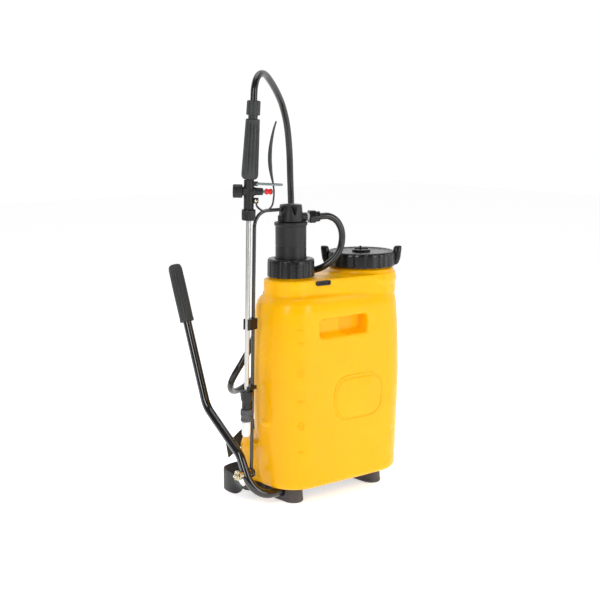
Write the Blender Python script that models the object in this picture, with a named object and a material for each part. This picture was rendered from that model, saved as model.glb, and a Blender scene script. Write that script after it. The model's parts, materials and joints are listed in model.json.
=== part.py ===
"""Backpack sprayer: a moulded tank on a two-rail base, a lever-driven pump, a hose, a clipped lance and a harness.

Metres, +Z up. X runs across the tank, with the lever and the lance on its -X side. The harness is on the +Y side.
The two necks stand on the plane Y = 0, and the base's soles stand on Z = 0.
"""

import math

import bmesh
import bpy
from mathutils import Matrix, Vector

# Clearances
SEAT = 0.0003  # between pieces that touch
RUN = 0.0005  # between pieces that slide or turn

# Tank
HALF_WIDTH = 0.1455
BULGE = 0.0030  # how far the sides swell at half height
FRONT = -0.0670
BACK = 0.0640
CORNER = 0.0550
TANK_BOTTOM = 0.0295
TANK_TOP = 0.3740
WALL = 0.0035
FLOOR = 0.0085
LUMBAR_DEPTH = 0.0400
LUMBAR_TOP = 0.1120
DECK_RISE = 0.0250
PUMP_X = -0.0840
LID_X = 0.0840
PUMP_BOSS_R = 0.0480
LID_BOSS_R = 0.0635
GRIP_X = (-0.0745, 0.0425)  # the carrying recess in the front
GRIP_Z = (0.2965, 0.3335)
GRIP_DEPTH = 0.0240

# Pump
NECK_R = 0.0365
NECK_BORE = 0.0330
NECK_RISE = 0.0290
BARREL_R = 0.0272
FLANGE_R = 0.0294
BARREL_WALL = 0.0027
PLUNGER_R = 0.0110
PLUNGER_BORE = 0.0080
CYLINDER_BORE = 0.0200
CYLINDER_WALL = 0.0025
CYLINDER_FOOT = 0.1150
PISTON_Z = 0.1785
HEAD_R = 0.0197
HEAD_HEIGHT = 0.0307
OUTLET_YAW = math.radians(-20)
HOSE_R = 0.0060
HOSE_STEP = 0.0260

# Base and lever
RAIL_X = 0.0950
RAIL_HALF = 0.0180
RAIL_FRONT = -0.0380
RAIL_BACK = 0.0980
AXLE_Y = -0.0080
AXLE_Z = 0.0190
LEVER_R = 0.00795
LEVER_WALL = 0.0015
LEVER_X = -HALF_WIDTH - 0.0310
LEVER_BEND = 0.0400
PIN_ARM = 0.0445
PIN_ANGLE = math.radians(61.1)
PIN_R = 0.0030
EYE_R = 0.0088
EYE_BORE = 0.0058  # wide, because the linkage is opened at this pivot
ROD_X = -HALF_WIDTH - 0.0190
ROD_R = 0.0032
ROD_BEND = 0.0280
KNEE = (0.1290, 0.1580)  # the lever's upper bend, as Y and Z
LEVER_TOP = (0.2254, 0.4087)
GRIP_R = 0.0125
GRIP_LENGTH = 0.1086

# Lance, along its own axis from the floor's level up
LANCE_GAP = 0.0150  # from the rod's axis to the lance's
LANCE_YAW = math.radians(190)  # the way the clips open
TRIGGER_YAW = math.radians(-40)
TUBE_R = 0.0042
TIP = (0.1275, 0.1545)
NOZZLE_CAP = (0.1548, 0.1768)
NOZZLE_BODY = (0.1771, 0.2093)
UNION = (0.5080, 0.5270)
VALVE_Z = 0.5575
VALVE_R = 0.0085
HANDLE = (0.5773, 0.6790)
HANDLE_TILT = math.radians(2.5)
HOSE_UNION = (0.6840, 0.7085)
CLIPS = ((0.3180, 0.3370), (0.2110, 0.2170))

# Lid
LID_R = 0.0603
SKIRT_R = 0.0625
EAR_R = 0.0745
FILL_R = 0.0520
FILL_BORE = 0.0480

DECK_TOP = TANK_TOP + DECK_RISE
NECK_TOP = DECK_TOP + NECK_RISE
BARREL_TOP = NECK_TOP + 0.0710
ROD_Z = BARREL_TOP + 0.0230
OUTLET_Z = BARREL_TOP + 0.0080
PIN = Vector((LEVER_X, AXLE_Y + PIN_ARM * math.cos(PIN_ANGLE), AXLE_Z + PIN_ARM * math.sin(PIN_ANGLE)))

# The hose's route by hand, from the pump's outlet to the lance's handle, in four stretches that meet end to end
HOSE_ROUTE = (
    (
        (-0.0320, -0.0189, 0.5070), (-0.0180, -0.0240, 0.5068), (-0.0045, -0.0290, 0.4995), (0.0040, -0.0320, 0.4860),
        (0.0070, -0.0330, 0.4700), (0.0060, -0.0310, 0.4530), (0.0005, -0.0270, 0.4370), (-0.0090, -0.0190, 0.4235),
        (-0.0190, -0.0080, 0.4140), (-0.0270, 0.0060, 0.4085), (-0.0325, 0.0230, 0.4070), (-0.0370, 0.0400, 0.4085),
        (-0.0415, 0.0575, 0.4080), (-0.0470, 0.0745, 0.4010), (-0.0530, 0.0880, 0.3870), (-0.0590, 0.0965, 0.3680),
        (-0.0665, 0.0990, 0.3430), (-0.0780, 0.0970, 0.3150), (-0.0930, 0.0930, 0.2850), (-0.1100, 0.0890, 0.2600),
    ),
    (
        (-0.1100, 0.0890, 0.2600), (-0.1245, 0.0895, 0.2400), (-0.1345, 0.0960, 0.2200), (-0.1360, 0.1080, 0.2010),
        (-0.1260, 0.1230, 0.1850), (-0.1080, 0.1375, 0.1750), (-0.0860, 0.1480, 0.1730), (-0.0640, 0.1530, 0.1790),
        (-0.0430, 0.1520, 0.1930), (-0.0250, 0.1460, 0.2130), (-0.0110, 0.1370, 0.2390), (-0.0030, 0.1270, 0.2700),
        (0.0010, 0.1180, 0.3050), (0.0020, 0.1110, 0.3450), (0.0020, 0.1060, 0.3900), (0.0015, 0.1030, 0.4350),
        (0.0005, 0.1010, 0.4800), (-0.0005, 0.1000, 0.5200), (-0.0045, 0.0971, 0.5640), (-0.0092, 0.0941, 0.6180),
    ),
    (
        (-0.0092, 0.0941, 0.6180), (-0.0215, 0.0861, 0.6640), (-0.0430, 0.0724, 0.6985), (-0.0680, 0.0563, 0.7210),
        (-0.0950, 0.0390, 0.7390),
    ),
    (
        (-0.0950, 0.0390, 0.7390), (-0.1220, 0.0217, 0.7520), (-0.1440, 0.0075, 0.7535), (-0.1610, -0.0035, 0.7455),
        (-0.1710, -0.0098, 0.7300), (-0.1743, -0.0122, 0.7112),
    ),
)


def look(name, colour, roughness, metallic=0.0):
    """A plain Principled material."""
    material = bpy.data.materials.new(name)
    material.use_nodes = True
    shader = material.node_tree.nodes["Principled BSDF"]
    shader.inputs["Base Color"].default_value = (*colour, 1)
    shader.inputs["Roughness"].default_value = roughness
    shader.inputs["Metallic"].default_value = metallic
    return material


def link(obj, frame=None):
    bpy.context.collection.objects.link(obj)
    obj.parent = frame
    return obj


def made(bm, name, material, frame=None):
    """Turns a bmesh into a linked object."""
    bmesh.ops.remove_doubles(bm, verts=bm.verts, dist=1e-6)
    bmesh.ops.recalc_face_normals(bm, faces=bm.faces)
    mesh = bpy.data.meshes.new(name)
    bm.to_mesh(mesh)
    bm.free()
    mesh.materials.append(material)
    mesh.shade_smooth()
    mesh.set_sharp_from_angle(angle=math.radians(35))
    return link(bpy.data.objects.new(name, mesh), frame)


def frame_at(place, rotation=None):
    """An empty that parts are placed under."""
    empty = link(bpy.data.objects.new("frame", None))
    empty.matrix_world = Matrix.Translation(place) @ (rotation or Matrix.Identity(3)).to_4x4()
    return empty


def lathe(name, profile, material, frame=None, segments=24):
    """Turns a profile of (radius, height) about Z. It is closed by its last edge unless it ends on the axis."""
    bm = bmesh.new()
    verts = [bm.verts.new((r, 0, z)) for r, z in profile]
    edges = [bm.edges.new(pair) for pair in zip(verts, verts[1:])]
    if profile[0][0] > 0:
        edges.append(bm.edges.new((verts[-1], verts[0])))
    bmesh.ops.spin(bm, geom=verts + edges, cent=(0, 0, 0), axis=(0, 0, 1), angle=2 * math.pi, steps=segments)
    return made(bm, name, material, frame)


def bar(name, start, end, radius, material, frame=None, segments=16, top=None):
    """A round bar, or a cone, from one point to another."""
    start, end = Vector(start), Vector(end)
    bm = bmesh.new()
    turn = (end - start).to_track_quat("Z", "Y").to_matrix().to_4x4()
    bmesh.ops.create_cone(
        bm, cap_ends=True, segments=segments, radius1=radius, radius2=radius if top is None else top,
        depth=(end - start).length, matrix=Matrix.Translation((start + end) / 2) @ turn,
    )
    return made(bm, name, material, frame)


def box(name, low, high, material, frame=None, round_by=0.0):
    """A box, with its edges rounded."""
    low, high = Vector(low), Vector(high)
    bm = bmesh.new()
    bmesh.ops.create_cube(bm, size=1, matrix=Matrix.Translation((low + high) / 2) @ Matrix.Diagonal((*(high - low), 1)))
    if round_by:
        bmesh.ops.bevel(bm, geom=bm.edges[:], offset=round_by, segments=2, affect="EDGES", profile=0.5)
    return made(bm, name, material, frame)


def loft(name, rings, material, frame=None):
    """Joins rings of equally many points, and caps both ends."""
    bm = bmesh.new()
    rows = [[bm.verts.new(p) for p in ring] for ring in rings]
    for a, b in zip(rows, rows[1:]):
        for i in range(len(a)):
            j = (i + 1) % len(a)
            bm.faces.new((a[i], a[j], b[j], b[i]))
    bm.faces.new(rows[0])
    bm.faces.new(rows[-1])
    return made(bm, name, material, frame)


def prism(name, outline, low, high, material, frame=None):
    """An outline in X and Y, from one height to another."""
    return loft(name, [[(x, y, z) for x, y in outline] for z in (low, high)], material, frame)


def corners(left, right, front, back, radius, steps=6):
    """The outline of a rectangle with round corners."""
    points = []
    for cx, cy, turn in (
        (right - radius, back - radius, 0), (left + radius, back - radius, 90),
        (left + radius, front + radius, 180), (right - radius, front + radius, 270),
    ):
        for i in range(steps + 1):
            angle = math.radians(turn + 90 * i / steps)
            points.append((cx + radius * math.cos(angle), cy + radius * math.sin(angle)))
    return points


def sweep(name, path, radius, material, frame=None, sides=10, bore=None):
    """A round bar along a path, or a tube where it has a bore."""
    path = [Vector(p) for p in path]
    along = [(path[min(i + 1, len(path) - 1)] - path[max(i - 1, 0)]).normalized() for i in range(len(path))]
    side = along[0].orthogonal().normalized()
    rings, inner = [], []
    for point, direction in zip(path, along):
        side = (side - direction * side.dot(direction)).normalized()
        up = direction.cross(side)
        turns = [2 * math.pi * k / sides for k in range(sides)]
        rings.append([point + radius * (side * math.cos(t) + up * math.sin(t)) for t in turns])
        if bore:
            inner.append([point + bore * (side * math.cos(t) + up * math.sin(t)) for t in turns])
    if not bore:
        return loft(name, rings, material, frame)
    bm = bmesh.new()
    rows = [[bm.verts.new(p) for p in ring] for ring in rings + inner[::-1]]
    for a, b in zip(rows, rows[1:] + rows[:1]):
        for i in range(sides):
            j = (i + 1) % sides
            bm.faces.new((a[i], a[j], b[j], b[i]))
    return made(bm, name, material, frame)


def ribbon(name, stations, width, thickness, material):
    """A flat band through stations of (point, across), where across is the band's width direction."""
    rings = []
    for i, (point, across) in enumerate(stations):
        ahead = Vector(stations[min(i + 1, len(stations) - 1)][0]) - Vector(stations[max(i - 1, 0)][0])
        across = Vector(across) - ahead.normalized() * Vector(across).dot(ahead.normalized())
        across = across.normalized() * width / 2
        out = ahead.cross(across).normalized() * thickness / 2
        rings.append([Vector(point) + s * across + t * out for s, t in ((1, 1), (-1, 1), (-1, -1), (1, -1))])
    return loft(name, rings, material)


def tool(obj):
    obj.hide_render = True
    obj.display_type = "WIRE"
    return obj


def change(obj, operation, *others):
    """Adds others to obj, or cuts them from it."""
    for other in others:
        modifier = obj.modifiers.new(operation.title(), "BOOLEAN")
        modifier.operation = operation
        modifier.object = tool(other)
    return obj


def cut(obj, *others):
    return change(obj, "DIFFERENCE", *others)


def join(obj, *others):
    return change(obj, "UNION", *others)


def filleted(points, radius, steps=6):
    """A path of straight runs whose corners are arcs."""
    points = [Vector(p) for p in points]
    path = [points[0]]
    for before, corner, after in zip(points, points[1:], points[2:]):
        a, b = (before - corner).normalized(), (after - corner).normalized()
        half = a.angle(b) / 2
        centre = corner + (a + b).normalized() * radius / math.sin(half)
        start = corner + a * radius / math.tan(half) - centre
        sweep_by = math.pi - 2 * half
        axis = start.cross(corner - centre).normalized()
        path += [centre + Matrix.Rotation(sweep_by * i / steps, 3, axis) @ start for i in range(steps + 1)]
    return path + [points[-1]]


def smooth(points, step, before=None, after=None):
    """Points about a step apart along a Catmull-Rom curve through the given ones."""
    points = [Vector(p) for p in points]
    ends = [before or 2 * points[0] - points[1], *points, after or 2 * points[-1] - points[-2]]
    fine = []
    for a, b, c, d in zip(ends, ends[1:], ends[2:], ends[3:]):
        for i in range(12):
            t = i / 12
            fine.append(
                0.5 * (2 * b + (c - a) * t + (2 * a - 5 * b + 4 * c - d) * t**2 + (3 * b - a - 3 * c + d) * t**3)
            )
    fine.append(points[-1])
    kept = [fine[0]]
    for point in fine[1:-1]:
        if (point - kept[-1]).length >= step and (fine[-1] - point).length > step / 2:
            kept.append(point)
    return kept + [fine[-1]]


def hairpin(name, half_gap, length, radius, material, frame):
    """A wire clip of two legs along -X joined by a half turn, standing across Z."""
    turn = [
        Vector((half_gap * math.sin(t), half_gap * math.cos(t), 0)) for t in (math.pi * i / 6 for i in range(7))
    ]
    path = [Vector((-length, half_gap, 0)), *turn, Vector((-length, -half_gap, 0))]
    return sweep(name, path, radius, material, frame, sides=6)


YELLOW = look("tank_plastic", (0.95, 0.62, 0.02), 0.35)
BLACK = look("black_plastic", (0.03, 0.03, 0.03), 0.45)
GREY = look("grey_plastic", (0.20, 0.21, 0.21), 0.5)
PALE = look("pale_plastic", (0.85, 0.84, 0.80), 0.4)
RED = look("red_plastic", (0.75, 0.05, 0.04), 0.4)
PAINT = look("painted_steel", (0.02, 0.02, 0.02), 0.25, 0.3)
ZINC = look("zinc_steel", (0.70, 0.66, 0.52), 0.3, 1.0)
TUBE = look("lance_metal", (0.72, 0.72, 0.72), 0.3, 1.0)
RUBBER = look("rubber", (0.02, 0.02, 0.02), 0.7)
WEB = look("webbing", (0.03, 0.03, 0.03), 0.9)
HOSE = look("hose_rubber", (0.02, 0.02, 0.02), 0.3)


def body_rings(inset):
    """Sections of the tank's main body, drawn in by a wall."""
    levels = (
        (0.000, 0.0129), (0.006, 0.0080), (0.019, 0.0044), (0.036, 0.0029), (0.205, 0.0015), (0.553, -BULGE),
        (0.785, 0.0000), (0.916, 0.0035), (0.959, 0.0060), (0.988, 0.0125), (1.000, 0.0235),
    )
    low = TANK_BOTTOM + (FLOOR if inset else 0)
    high = TANK_TOP - inset
    rings = []
    for share, draw in levels:
        z = low + (high - low) * share
        depth = max(draw - 0.0040, 0)
        outline = corners(
            -HALF_WIDTH + inset + draw, HALF_WIDTH - inset - draw, FRONT + inset + depth, BACK - inset - depth,
            CORNER - inset - depth / 2,
        )
        rings.append([(x, y, z) for x, y in outline])
    return rings


def lumbar_rings(inset):
    """Sections of the deeper part low on the back."""
    half = HALF_WIDTH - 0.0020 - inset
    back = BACK + LUMBAR_DEPTH - inset
    radius = CORNER - 0.005 - inset
    low = TANK_BOTTOM + (FLOOR if inset else 0)
    high = LUMBAR_TOP - inset
    rings = []
    for z, draw in ((low, 0.010), (low + 0.006, 0.002), (low + 0.014, 0), (high - 0.012, 0), (high - 0.004, 0.003),
                    (high, 0.011)):
        rings.append([(x, y, z) for x, y in corners(-half + draw, half - draw, 0, back - draw, radius - draw / 2)])
    return rings


def deck_outline(inset):
    """The outline round both bosses, which stand on one deck."""
    a, b = PUMP_BOSS_R - inset, LID_BOSS_R - inset
    lean = math.asin((b - a) / (LID_X - PUMP_X))
    points = []
    for x, r, start, end in (
        (LID_X, b, -math.pi / 2 - lean, math.pi / 2 + lean),
        (PUMP_X, a, math.pi / 2 + lean, 3 * math.pi / 2 - lean),
    ):
        points += [
            (x + r * math.cos(t), r * math.sin(t)) for t in (start + (end - start) * i / 14 for i in range(15))
        ]
    return points


def tank():
    shell = loft("tank", body_rings(0), YELLOW)
    join(shell, loft("lumbar", lumbar_rings(0), YELLOW))
    join(shell, prism("deck", deck_outline(0), TANK_TOP - 0.010, DECK_TOP, YELLOW))
    lid_axis, pump_axis = frame_at((LID_X, 0, 0)), frame_at((PUMP_X, 0, 0))
    boss = [(0, TANK_TOP - 0.003), (0.060, TANK_TOP - 0.003), (LID_BOSS_R + 0.001, TANK_TOP + 0.008),
            (LID_BOSS_R + 0.0015, TANK_TOP + 0.015), (LID_BOSS_R - 0.001, TANK_TOP + 0.024), (0.059, DECK_TOP + 0.0075),
            (FILL_R, DECK_TOP + 0.0085), (FILL_R, NECK_TOP), (0, NECK_TOP)]
    join(shell, lathe("lid_boss", boss, YELLOW, lid_axis, 32))
    join(shell, lathe("pump_neck", [(0, TANK_TOP), (NECK_R, TANK_TOP), (NECK_R, NECK_TOP), (0, NECK_TOP)],
                      YELLOW, pump_axis))
    cut(shell, loft("body_hollow", body_rings(WALL), YELLOW))
    cut(shell, loft("lumbar_hollow", lumbar_rings(WALL), YELLOW))
    cut(shell, prism("deck_hollow", deck_outline(WALL), TANK_TOP - 0.015, DECK_TOP - WALL, YELLOW))
    inside = FRONT + GRIP_DEPTH
    join(shell, box("grip_pod", (GRIP_X[0] - WALL, FRONT + 0.001, GRIP_Z[0] - WALL),
                    (GRIP_X[1] + WALL, inside + WALL, GRIP_Z[1] + WALL), YELLOW))
    cut(shell, box("grip_recess", (GRIP_X[0], FRONT - 0.010, GRIP_Z[0]), (GRIP_X[1], inside, GRIP_Z[1]), YELLOW,
                   round_by=0.006))
    cut(shell, box("plug_slot", (-0.0665, -0.0700, DECK_TOP - 0.0095), (-0.0405, -0.0480, DECK_TOP - 0.0025), YELLOW))
    box("strap_anchor_plug", (-0.0665 + SEAT, -0.0560, DECK_TOP - 0.0095 + SEAT),
        (-0.0405 - SEAT, -0.0480 - SEAT, DECK_TOP - 0.0025 - SEAT), BLACK)
    cut(shell, bar("pump_bore", (0, 0, TANK_TOP - 0.010), (0, 0, NECK_TOP + 0.010), NECK_BORE, YELLOW, pump_axis, 24))
    cut(shell, bar("fill_bore", (0, 0, TANK_TOP - 0.010), (0, 0, NECK_TOP + 0.010), FILL_BORE, YELLOW, lid_axis, 40))
    for side, x in (("left", -RAIL_X), ("right", RAIL_X)):
        cut(shell, bar(f"screw_hole_{side}", (x, 0.050, TANK_BOTTOM - 0.002), (x, 0.050, TANK_BOTTOM + 0.0068),
                       0.0024, YELLOW, segments=8))


def base():
    """Two skid rails and the plate over them, with the axle's bore and the harness lugs."""
    top = TANK_BOTTOM - 0.0005
    frame = prism("base_frame", corners(-RAIL_X - RAIL_HALF, RAIL_X + RAIL_HALF, RAIL_FRONT, RAIL_BACK, 0.017, 4),
                  0.0225, top, BLACK)
    for side, sign in (("left", -1), ("right", 1)):
        x = sign * RAIL_X
        outline = corners(x - RAIL_HALF, x + RAIL_HALF, RAIL_FRONT, RAIL_BACK, RAIL_HALF - 0.0002, 5)
        foot = [(x + (a - x) * 0.90, b + (0.0015 if b < 0 else -0.0015)) for a, b in outline]
        rail = loft(f"rail_{side}", [[(a, b, 0) for a, b in foot], [(a, b, 0.004) for a, b in outline],
                                     [(a, b, top) for a, b in outline]], BLACK)
        lug = box(f"lug_{side}", (x + sign * 0.021 - 0.009, 0.0270, 0.0080), (x + sign * 0.021 + 0.009, 0.0730, 0.0280),
                  BLACK)
        join(frame, rail, lug)
        cut(frame, box(f"lug_slot_{side}", (x + sign * 0.0255 - 0.006, 0.0300, 0.0130),
                       (x + sign * 0.0255 + 0.006, 0.0700, 0.0170), BLACK))
        cut(frame, bar(f"head_recess_{side}", (x, 0.050, -0.010), (x, 0.050, 0.0180), 0.0060, BLACK, segments=12))
        cut(frame, bar(f"shank_hole_{side}", (x, 0.050, 0.010), (x, 0.050, 0.040), 0.0028, BLACK, segments=8))
        place = frame_at((x, 0.050, 0))
        lathe(f"base_screw_{side}", [(0, 0.0150), (0.0045, 0.0150), (0.0045, 0.0177), (0.0020, 0.0177),
                                     (0.0020, TANK_BOTTOM + 0.0060), (0, TANK_BOTTOM + 0.0060)], ZINC, place, 8)
    cut(frame, bar("axle_bore", (-0.2, AXLE_Y, AXLE_Z), (0.2, AXLE_Y, AXLE_Z), LEVER_R + RUN, BLACK))


def pump():
    """The fixed cylinder and the ring nut that clamps it, and the chamber that the lever drives up and down."""
    axis = frame_at((PUMP_X, 0, 0))
    flange = NECK_TOP + 0.0022
    sleeve = BARREL_R + 0.0018
    foot, step = CYLINDER_FOOT, NECK_TOP - 0.078
    narrow = CYLINDER_BORE + CYLINDER_WALL
    lathe("neck_gasket", [(0.0335, NECK_TOP + SEAT), (0.0362, NECK_TOP + SEAT), (0.0362, NECK_TOP + 0.0019),
                          (0.0335, NECK_TOP + 0.0019)], RUBBER, axis)
    cylinder = [(0.0050, foot), (narrow, foot), (narrow, step - 0.003), (0.0322, step), (0.0322, flange),
                (0.0362, flange), (0.0362, flange + 0.0018), (sleeve, flange + 0.0018), (sleeve, step + 0.003),
                (CYLINDER_BORE, step), (CYLINDER_BORE, foot + 0.003), (0.0050, foot + 0.003)]
    lathe("pump_cylinder", cylinder, PALE, axis)
    lid = flange + 0.0018 + SEAT
    ring = [(0.0413, DECK_TOP + 0.0045), (0.0413, lid), (0.0390, lid + 0.003), (sleeve, lid + 0.003), (sleeve, lid),
            (NECK_R + RUN, lid), (NECK_R + RUN, DECK_TOP + 0.0045)]
    lathe("ring_nut", ring, BLACK, axis, 32)
    plunger = [(PLUNGER_BORE, PISTON_Z), (PLUNGER_R, PISTON_Z), (PLUNGER_R, NECK_TOP - 0.036), (BARREL_R - 0.002,
               NECK_TOP - 0.034), (BARREL_R, NECK_TOP - 0.032), (BARREL_R, BARREL_TOP - 0.006), (FLANGE_R,
               BARREL_TOP - 0.004), (FLANGE_R, BARREL_TOP), (BARREL_R - BARREL_WALL, BARREL_TOP),
               (BARREL_R - BARREL_WALL, NECK_TOP - 0.030), (PLUNGER_BORE, NECK_TOP - 0.032)]
    lathe("pump_chamber", plunger, BLACK, axis)
    lathe("piston_cup", [(PLUNGER_R + SEAT, PISTON_Z), (CYLINDER_BORE - 0.0004, PISTON_Z), (CYLINDER_BORE - 0.0004,
          PISTON_Z + 0.009), (CYLINDER_BORE - 0.003, PISTON_Z + 0.009), (PLUNGER_R + SEAT, PISTON_Z + 0.004)],
          RUBBER, axis)
    lathe("piston_retainer", [(0.0045, PISTON_Z - 0.008), (0.0150, PISTON_Z - 0.008), (0.0150, PISTON_Z - SEAT),
          (0.0045, PISTON_Z - SEAT)], PALE, axis)
    for name, seat, hole, r in (("discharge_ball", PISTON_Z, 0.0045, 0.0055), ("suction_ball", foot + 0.003, 0.0050,
                                0.0060)):
        middle = seat + math.sqrt(r * r - hole * hole) + 0.0006
        arc = [(r * math.sin(t), middle - r * math.cos(t)) for t in (math.pi * i / 6 for i in range(7))]
        lathe(name, [(0, arc[0][1]), *arc[1:-1], (0, arc[-1][1])], ZINC, axis, 12)
    lathe("suction_strainer", [(0.0160, foot - 0.030), (0.0180, foot - 0.030), (0.0180, foot - SEAT), (0.0030,
          foot - SEAT), (0.0030, foot - 0.002), (0.0160, foot - 0.002)], PALE, axis, 16)
    head()


def head():
    axis = frame_at((PUMP_X, 0, 0))
    low, high = BARREL_TOP + SEAT, BARREL_TOP + HEAD_HEIGHT
    block = lathe("pump_head", [(0, low), (HEAD_R, low), (HEAD_R, high - 0.003), (HEAD_R - 0.003, high), (0, high)],
                  BLACK, axis)
    out = Vector((math.cos(OUTLET_YAW), math.sin(OUTLET_YAW), 0))
    at = Vector((PUMP_X, 0, OUTLET_Z))
    join(block, bar("outlet_boss", at, at + out * 0.0290, 0.0075, BLACK))
    cut(block, bar("rod_bore", (PUMP_X - 0.040, 0, ROD_Z), (PUMP_X + 0.0130, 0, ROD_Z), ROD_R + RUN, BLACK))
    notch_x = PUMP_X - 0.0065
    notch = [(notch_x - 0.0010, ROD_Z - 0.009), (notch_x + 0.0010, ROD_Z - 0.009), (notch_x + 0.0060, high + 0.002),
             (notch_x - 0.0060, high + 0.002)]
    rings = [[(x, y, z) for x, z in notch] for y in (0.0070, -0.030)]
    cut(block, loft("notch", rings, BLACK))
    clip = frame_at((notch_x, 0, ROD_Z + RUN), Matrix.Rotation(-math.pi / 2, 3, "Y"))
    hairpin("rod_split_pin", ROD_R + 0.0016, 0.0060, 0.0008, ZINC, clip)
    outlet = frame_at(at, out.to_track_quat("Z", "Y").to_matrix())
    lathe("outlet_stub", [(0.0025, 0.0293), (0.0070, 0.0293), (0.0070, 0.0330), (0.0050, 0.0330), (0.0050, 0.0500),
                          (0.0025, 0.0500)], PALE, outlet, 16)
    lathe("outlet_nut", [(0.0053, 0.0333), (0.0120, 0.0333), (0.0120, 0.0490), (0.0090, 0.0540), (0.0053, 0.0540)],
          BLACK, outlet, 12)


def lid():
    """The screwed lid with its ears, vent and gasket, and the strainer basket that hangs in the fill neck."""
    axis = frame_at((LID_X, 0, 0))
    top = NECK_TOP + 0.0084
    low = DECK_TOP + 0.0105
    cover = lathe("lid", [(0, top - 0.0030), (0.0545, top - 0.0030), (0.0545, low), (SKIRT_R, low),
                          (LID_R + 0.001, top - 0.003), (LID_R - 0.001, top), (0, top)], BLACK, axis, 36)
    for turn in (math.radians(-40), math.radians(140)):
        ear = box("ear", (LID_R - 0.004, -0.005, low + 0.002), (EAR_R, 0.005, top + 0.008), BLACK, round_by=0.002)
        ear.matrix_world = Matrix.Translation((LID_X, 0, 0)) @ Matrix.Rotation(turn, 4, "Z")
        join(cover, ear)
    lathe("vent_cap", [(0, top + SEAT), (0.0170, top + SEAT), (0.0165, top + 0.0025), (0, top + 0.0025)],
          BLACK, axis, 20)
    bar("vent_peg", (LID_X - 0.0090, -0.0075, top + 0.0028), (LID_X - 0.0090, -0.0075, top + 0.0095), 0.0016, GREY,
        segments=8)
    lathe("lid_gasket", [(FILL_BORE + 0.0005, NECK_TOP + SEAT), (FILL_R, NECK_TOP + SEAT), (FILL_R, top - 0.0035),
                         (FILL_BORE + 0.0005, top - 0.0035)], RUBBER, axis)
    r = FILL_BORE - 0.0012
    lathe("strainer_basket", [(0, NECK_TOP - 0.062), (r - 0.004, NECK_TOP - 0.062), (r, NECK_TOP - 0.004),
                              (r, NECK_TOP - 0.0015), (r - 0.0018, NECK_TOP - 0.0015), (r - 0.0058,
                              NECK_TOP - 0.060), (0, NECK_TOP - 0.060)], GREY, axis)


def lever():
    """The bent tube that turns in the base, its grip, and the pin that drives the pump rod."""
    aim = Vector((0, math.cos(PIN_ANGLE), math.sin(PIN_ANGLE)))
    start = Vector((LEVER_X, AXLE_Y, AXLE_Z))
    end = RAIL_X + RAIL_HALF + 0.0060
    shin = start + aim * 0.0790
    knee, tip = Vector((LEVER_X, *KNEE)), Vector((LEVER_X, *LEVER_TOP))
    lower = filleted([(end, AXLE_Y, AXLE_Z), start, shin - aim * 0.022], LEVER_BEND, 7)[:-1]
    upper = filleted([shin - aim * 0.022, shin, knee, tip - (tip - knee).normalized() * 0.004], 0.036, 5)[1:]
    tube = sweep("lever_tube", lower + upper, LEVER_R, PAINT, sides=12, bore=LEVER_R - LEVER_WALL)
    cut(tube, bar("pin_hole", PIN - Vector((0.02, 0, 0)), PIN + Vector((0.02, 0, 0)), PIN_R + SEAT, PAINT,
                  segments=12))
    along = (tip - knee).normalized()
    grip = frame_at(tip, along.to_track_quat("Z", "Y").to_matrix())
    lathe("lever_grip", [(0, -0.0035), (LEVER_R + SEAT, -0.0035), (LEVER_R + SEAT, -GRIP_LENGTH), (GRIP_R + 0.0005,
          -GRIP_LENGTH), (GRIP_R - 0.0005, -0.003), (GRIP_R - 0.004, 0), (0, 0)], GREY, grip, 20)
    place = frame_at(PIN, Matrix.Rotation(-math.pi / 2, 3, "Y"))
    out = LEVER_R + SEAT
    lathe("lever_pin", [(0, -0.0205), (0.0050, -0.0205), (0.0050, -0.0180), (PIN_R, -0.0180), (PIN_R, 0.0270),
                        (0, 0.0270)], ZINC, place, 12)
    lathe("lever_bush", [(PIN_R + SEAT, out), (0.0065, out), (0.0065, out + 0.0080), (PIN_R + SEAT, out + 0.0080)],
          ZINC, place, 16)
    lathe("lever_washer", [(PIN_R + SEAT, out + 0.0086), (0.0090, out + 0.0086), (0.0090, out + 0.0101), (PIN_R + SEAT,
          out + 0.0101)], ZINC, place, 16)
    clip = frame_at(PIN + Vector((-out - 0.0125, 0, -0.0035)), Matrix.Rotation(math.pi / 2, 3, "Y"))
    hairpin("pin_clip", PIN_R + 0.0016, 0.0085, 0.0010, ZINC, clip)
    cap = frame_at((RAIL_X + RAIL_HALF + 0.0005, AXLE_Y, AXLE_Z), Matrix.Rotation(math.pi / 2, 3, "Y"))
    lathe("axle_cap", [(0, 0.0058), (LEVER_R + SEAT, 0.0058), (LEVER_R + SEAT, 0), (0.0100, 0), (0.0100, 0.0075),
                       (0.0090, 0.0090), (0, 0.0090)], BLACK, cap, 16)


def rod_frame():
    """The pump rod's own frame: its origin on the floor's level, and Z up along the rod."""
    foot = Vector((ROD_X, PIN.y, PIN.z))
    along = (Vector((ROD_X, 0, ROD_Z)) - foot).normalized()
    origin = foot - along * (foot.z / along.z)
    return origin, along


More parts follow.
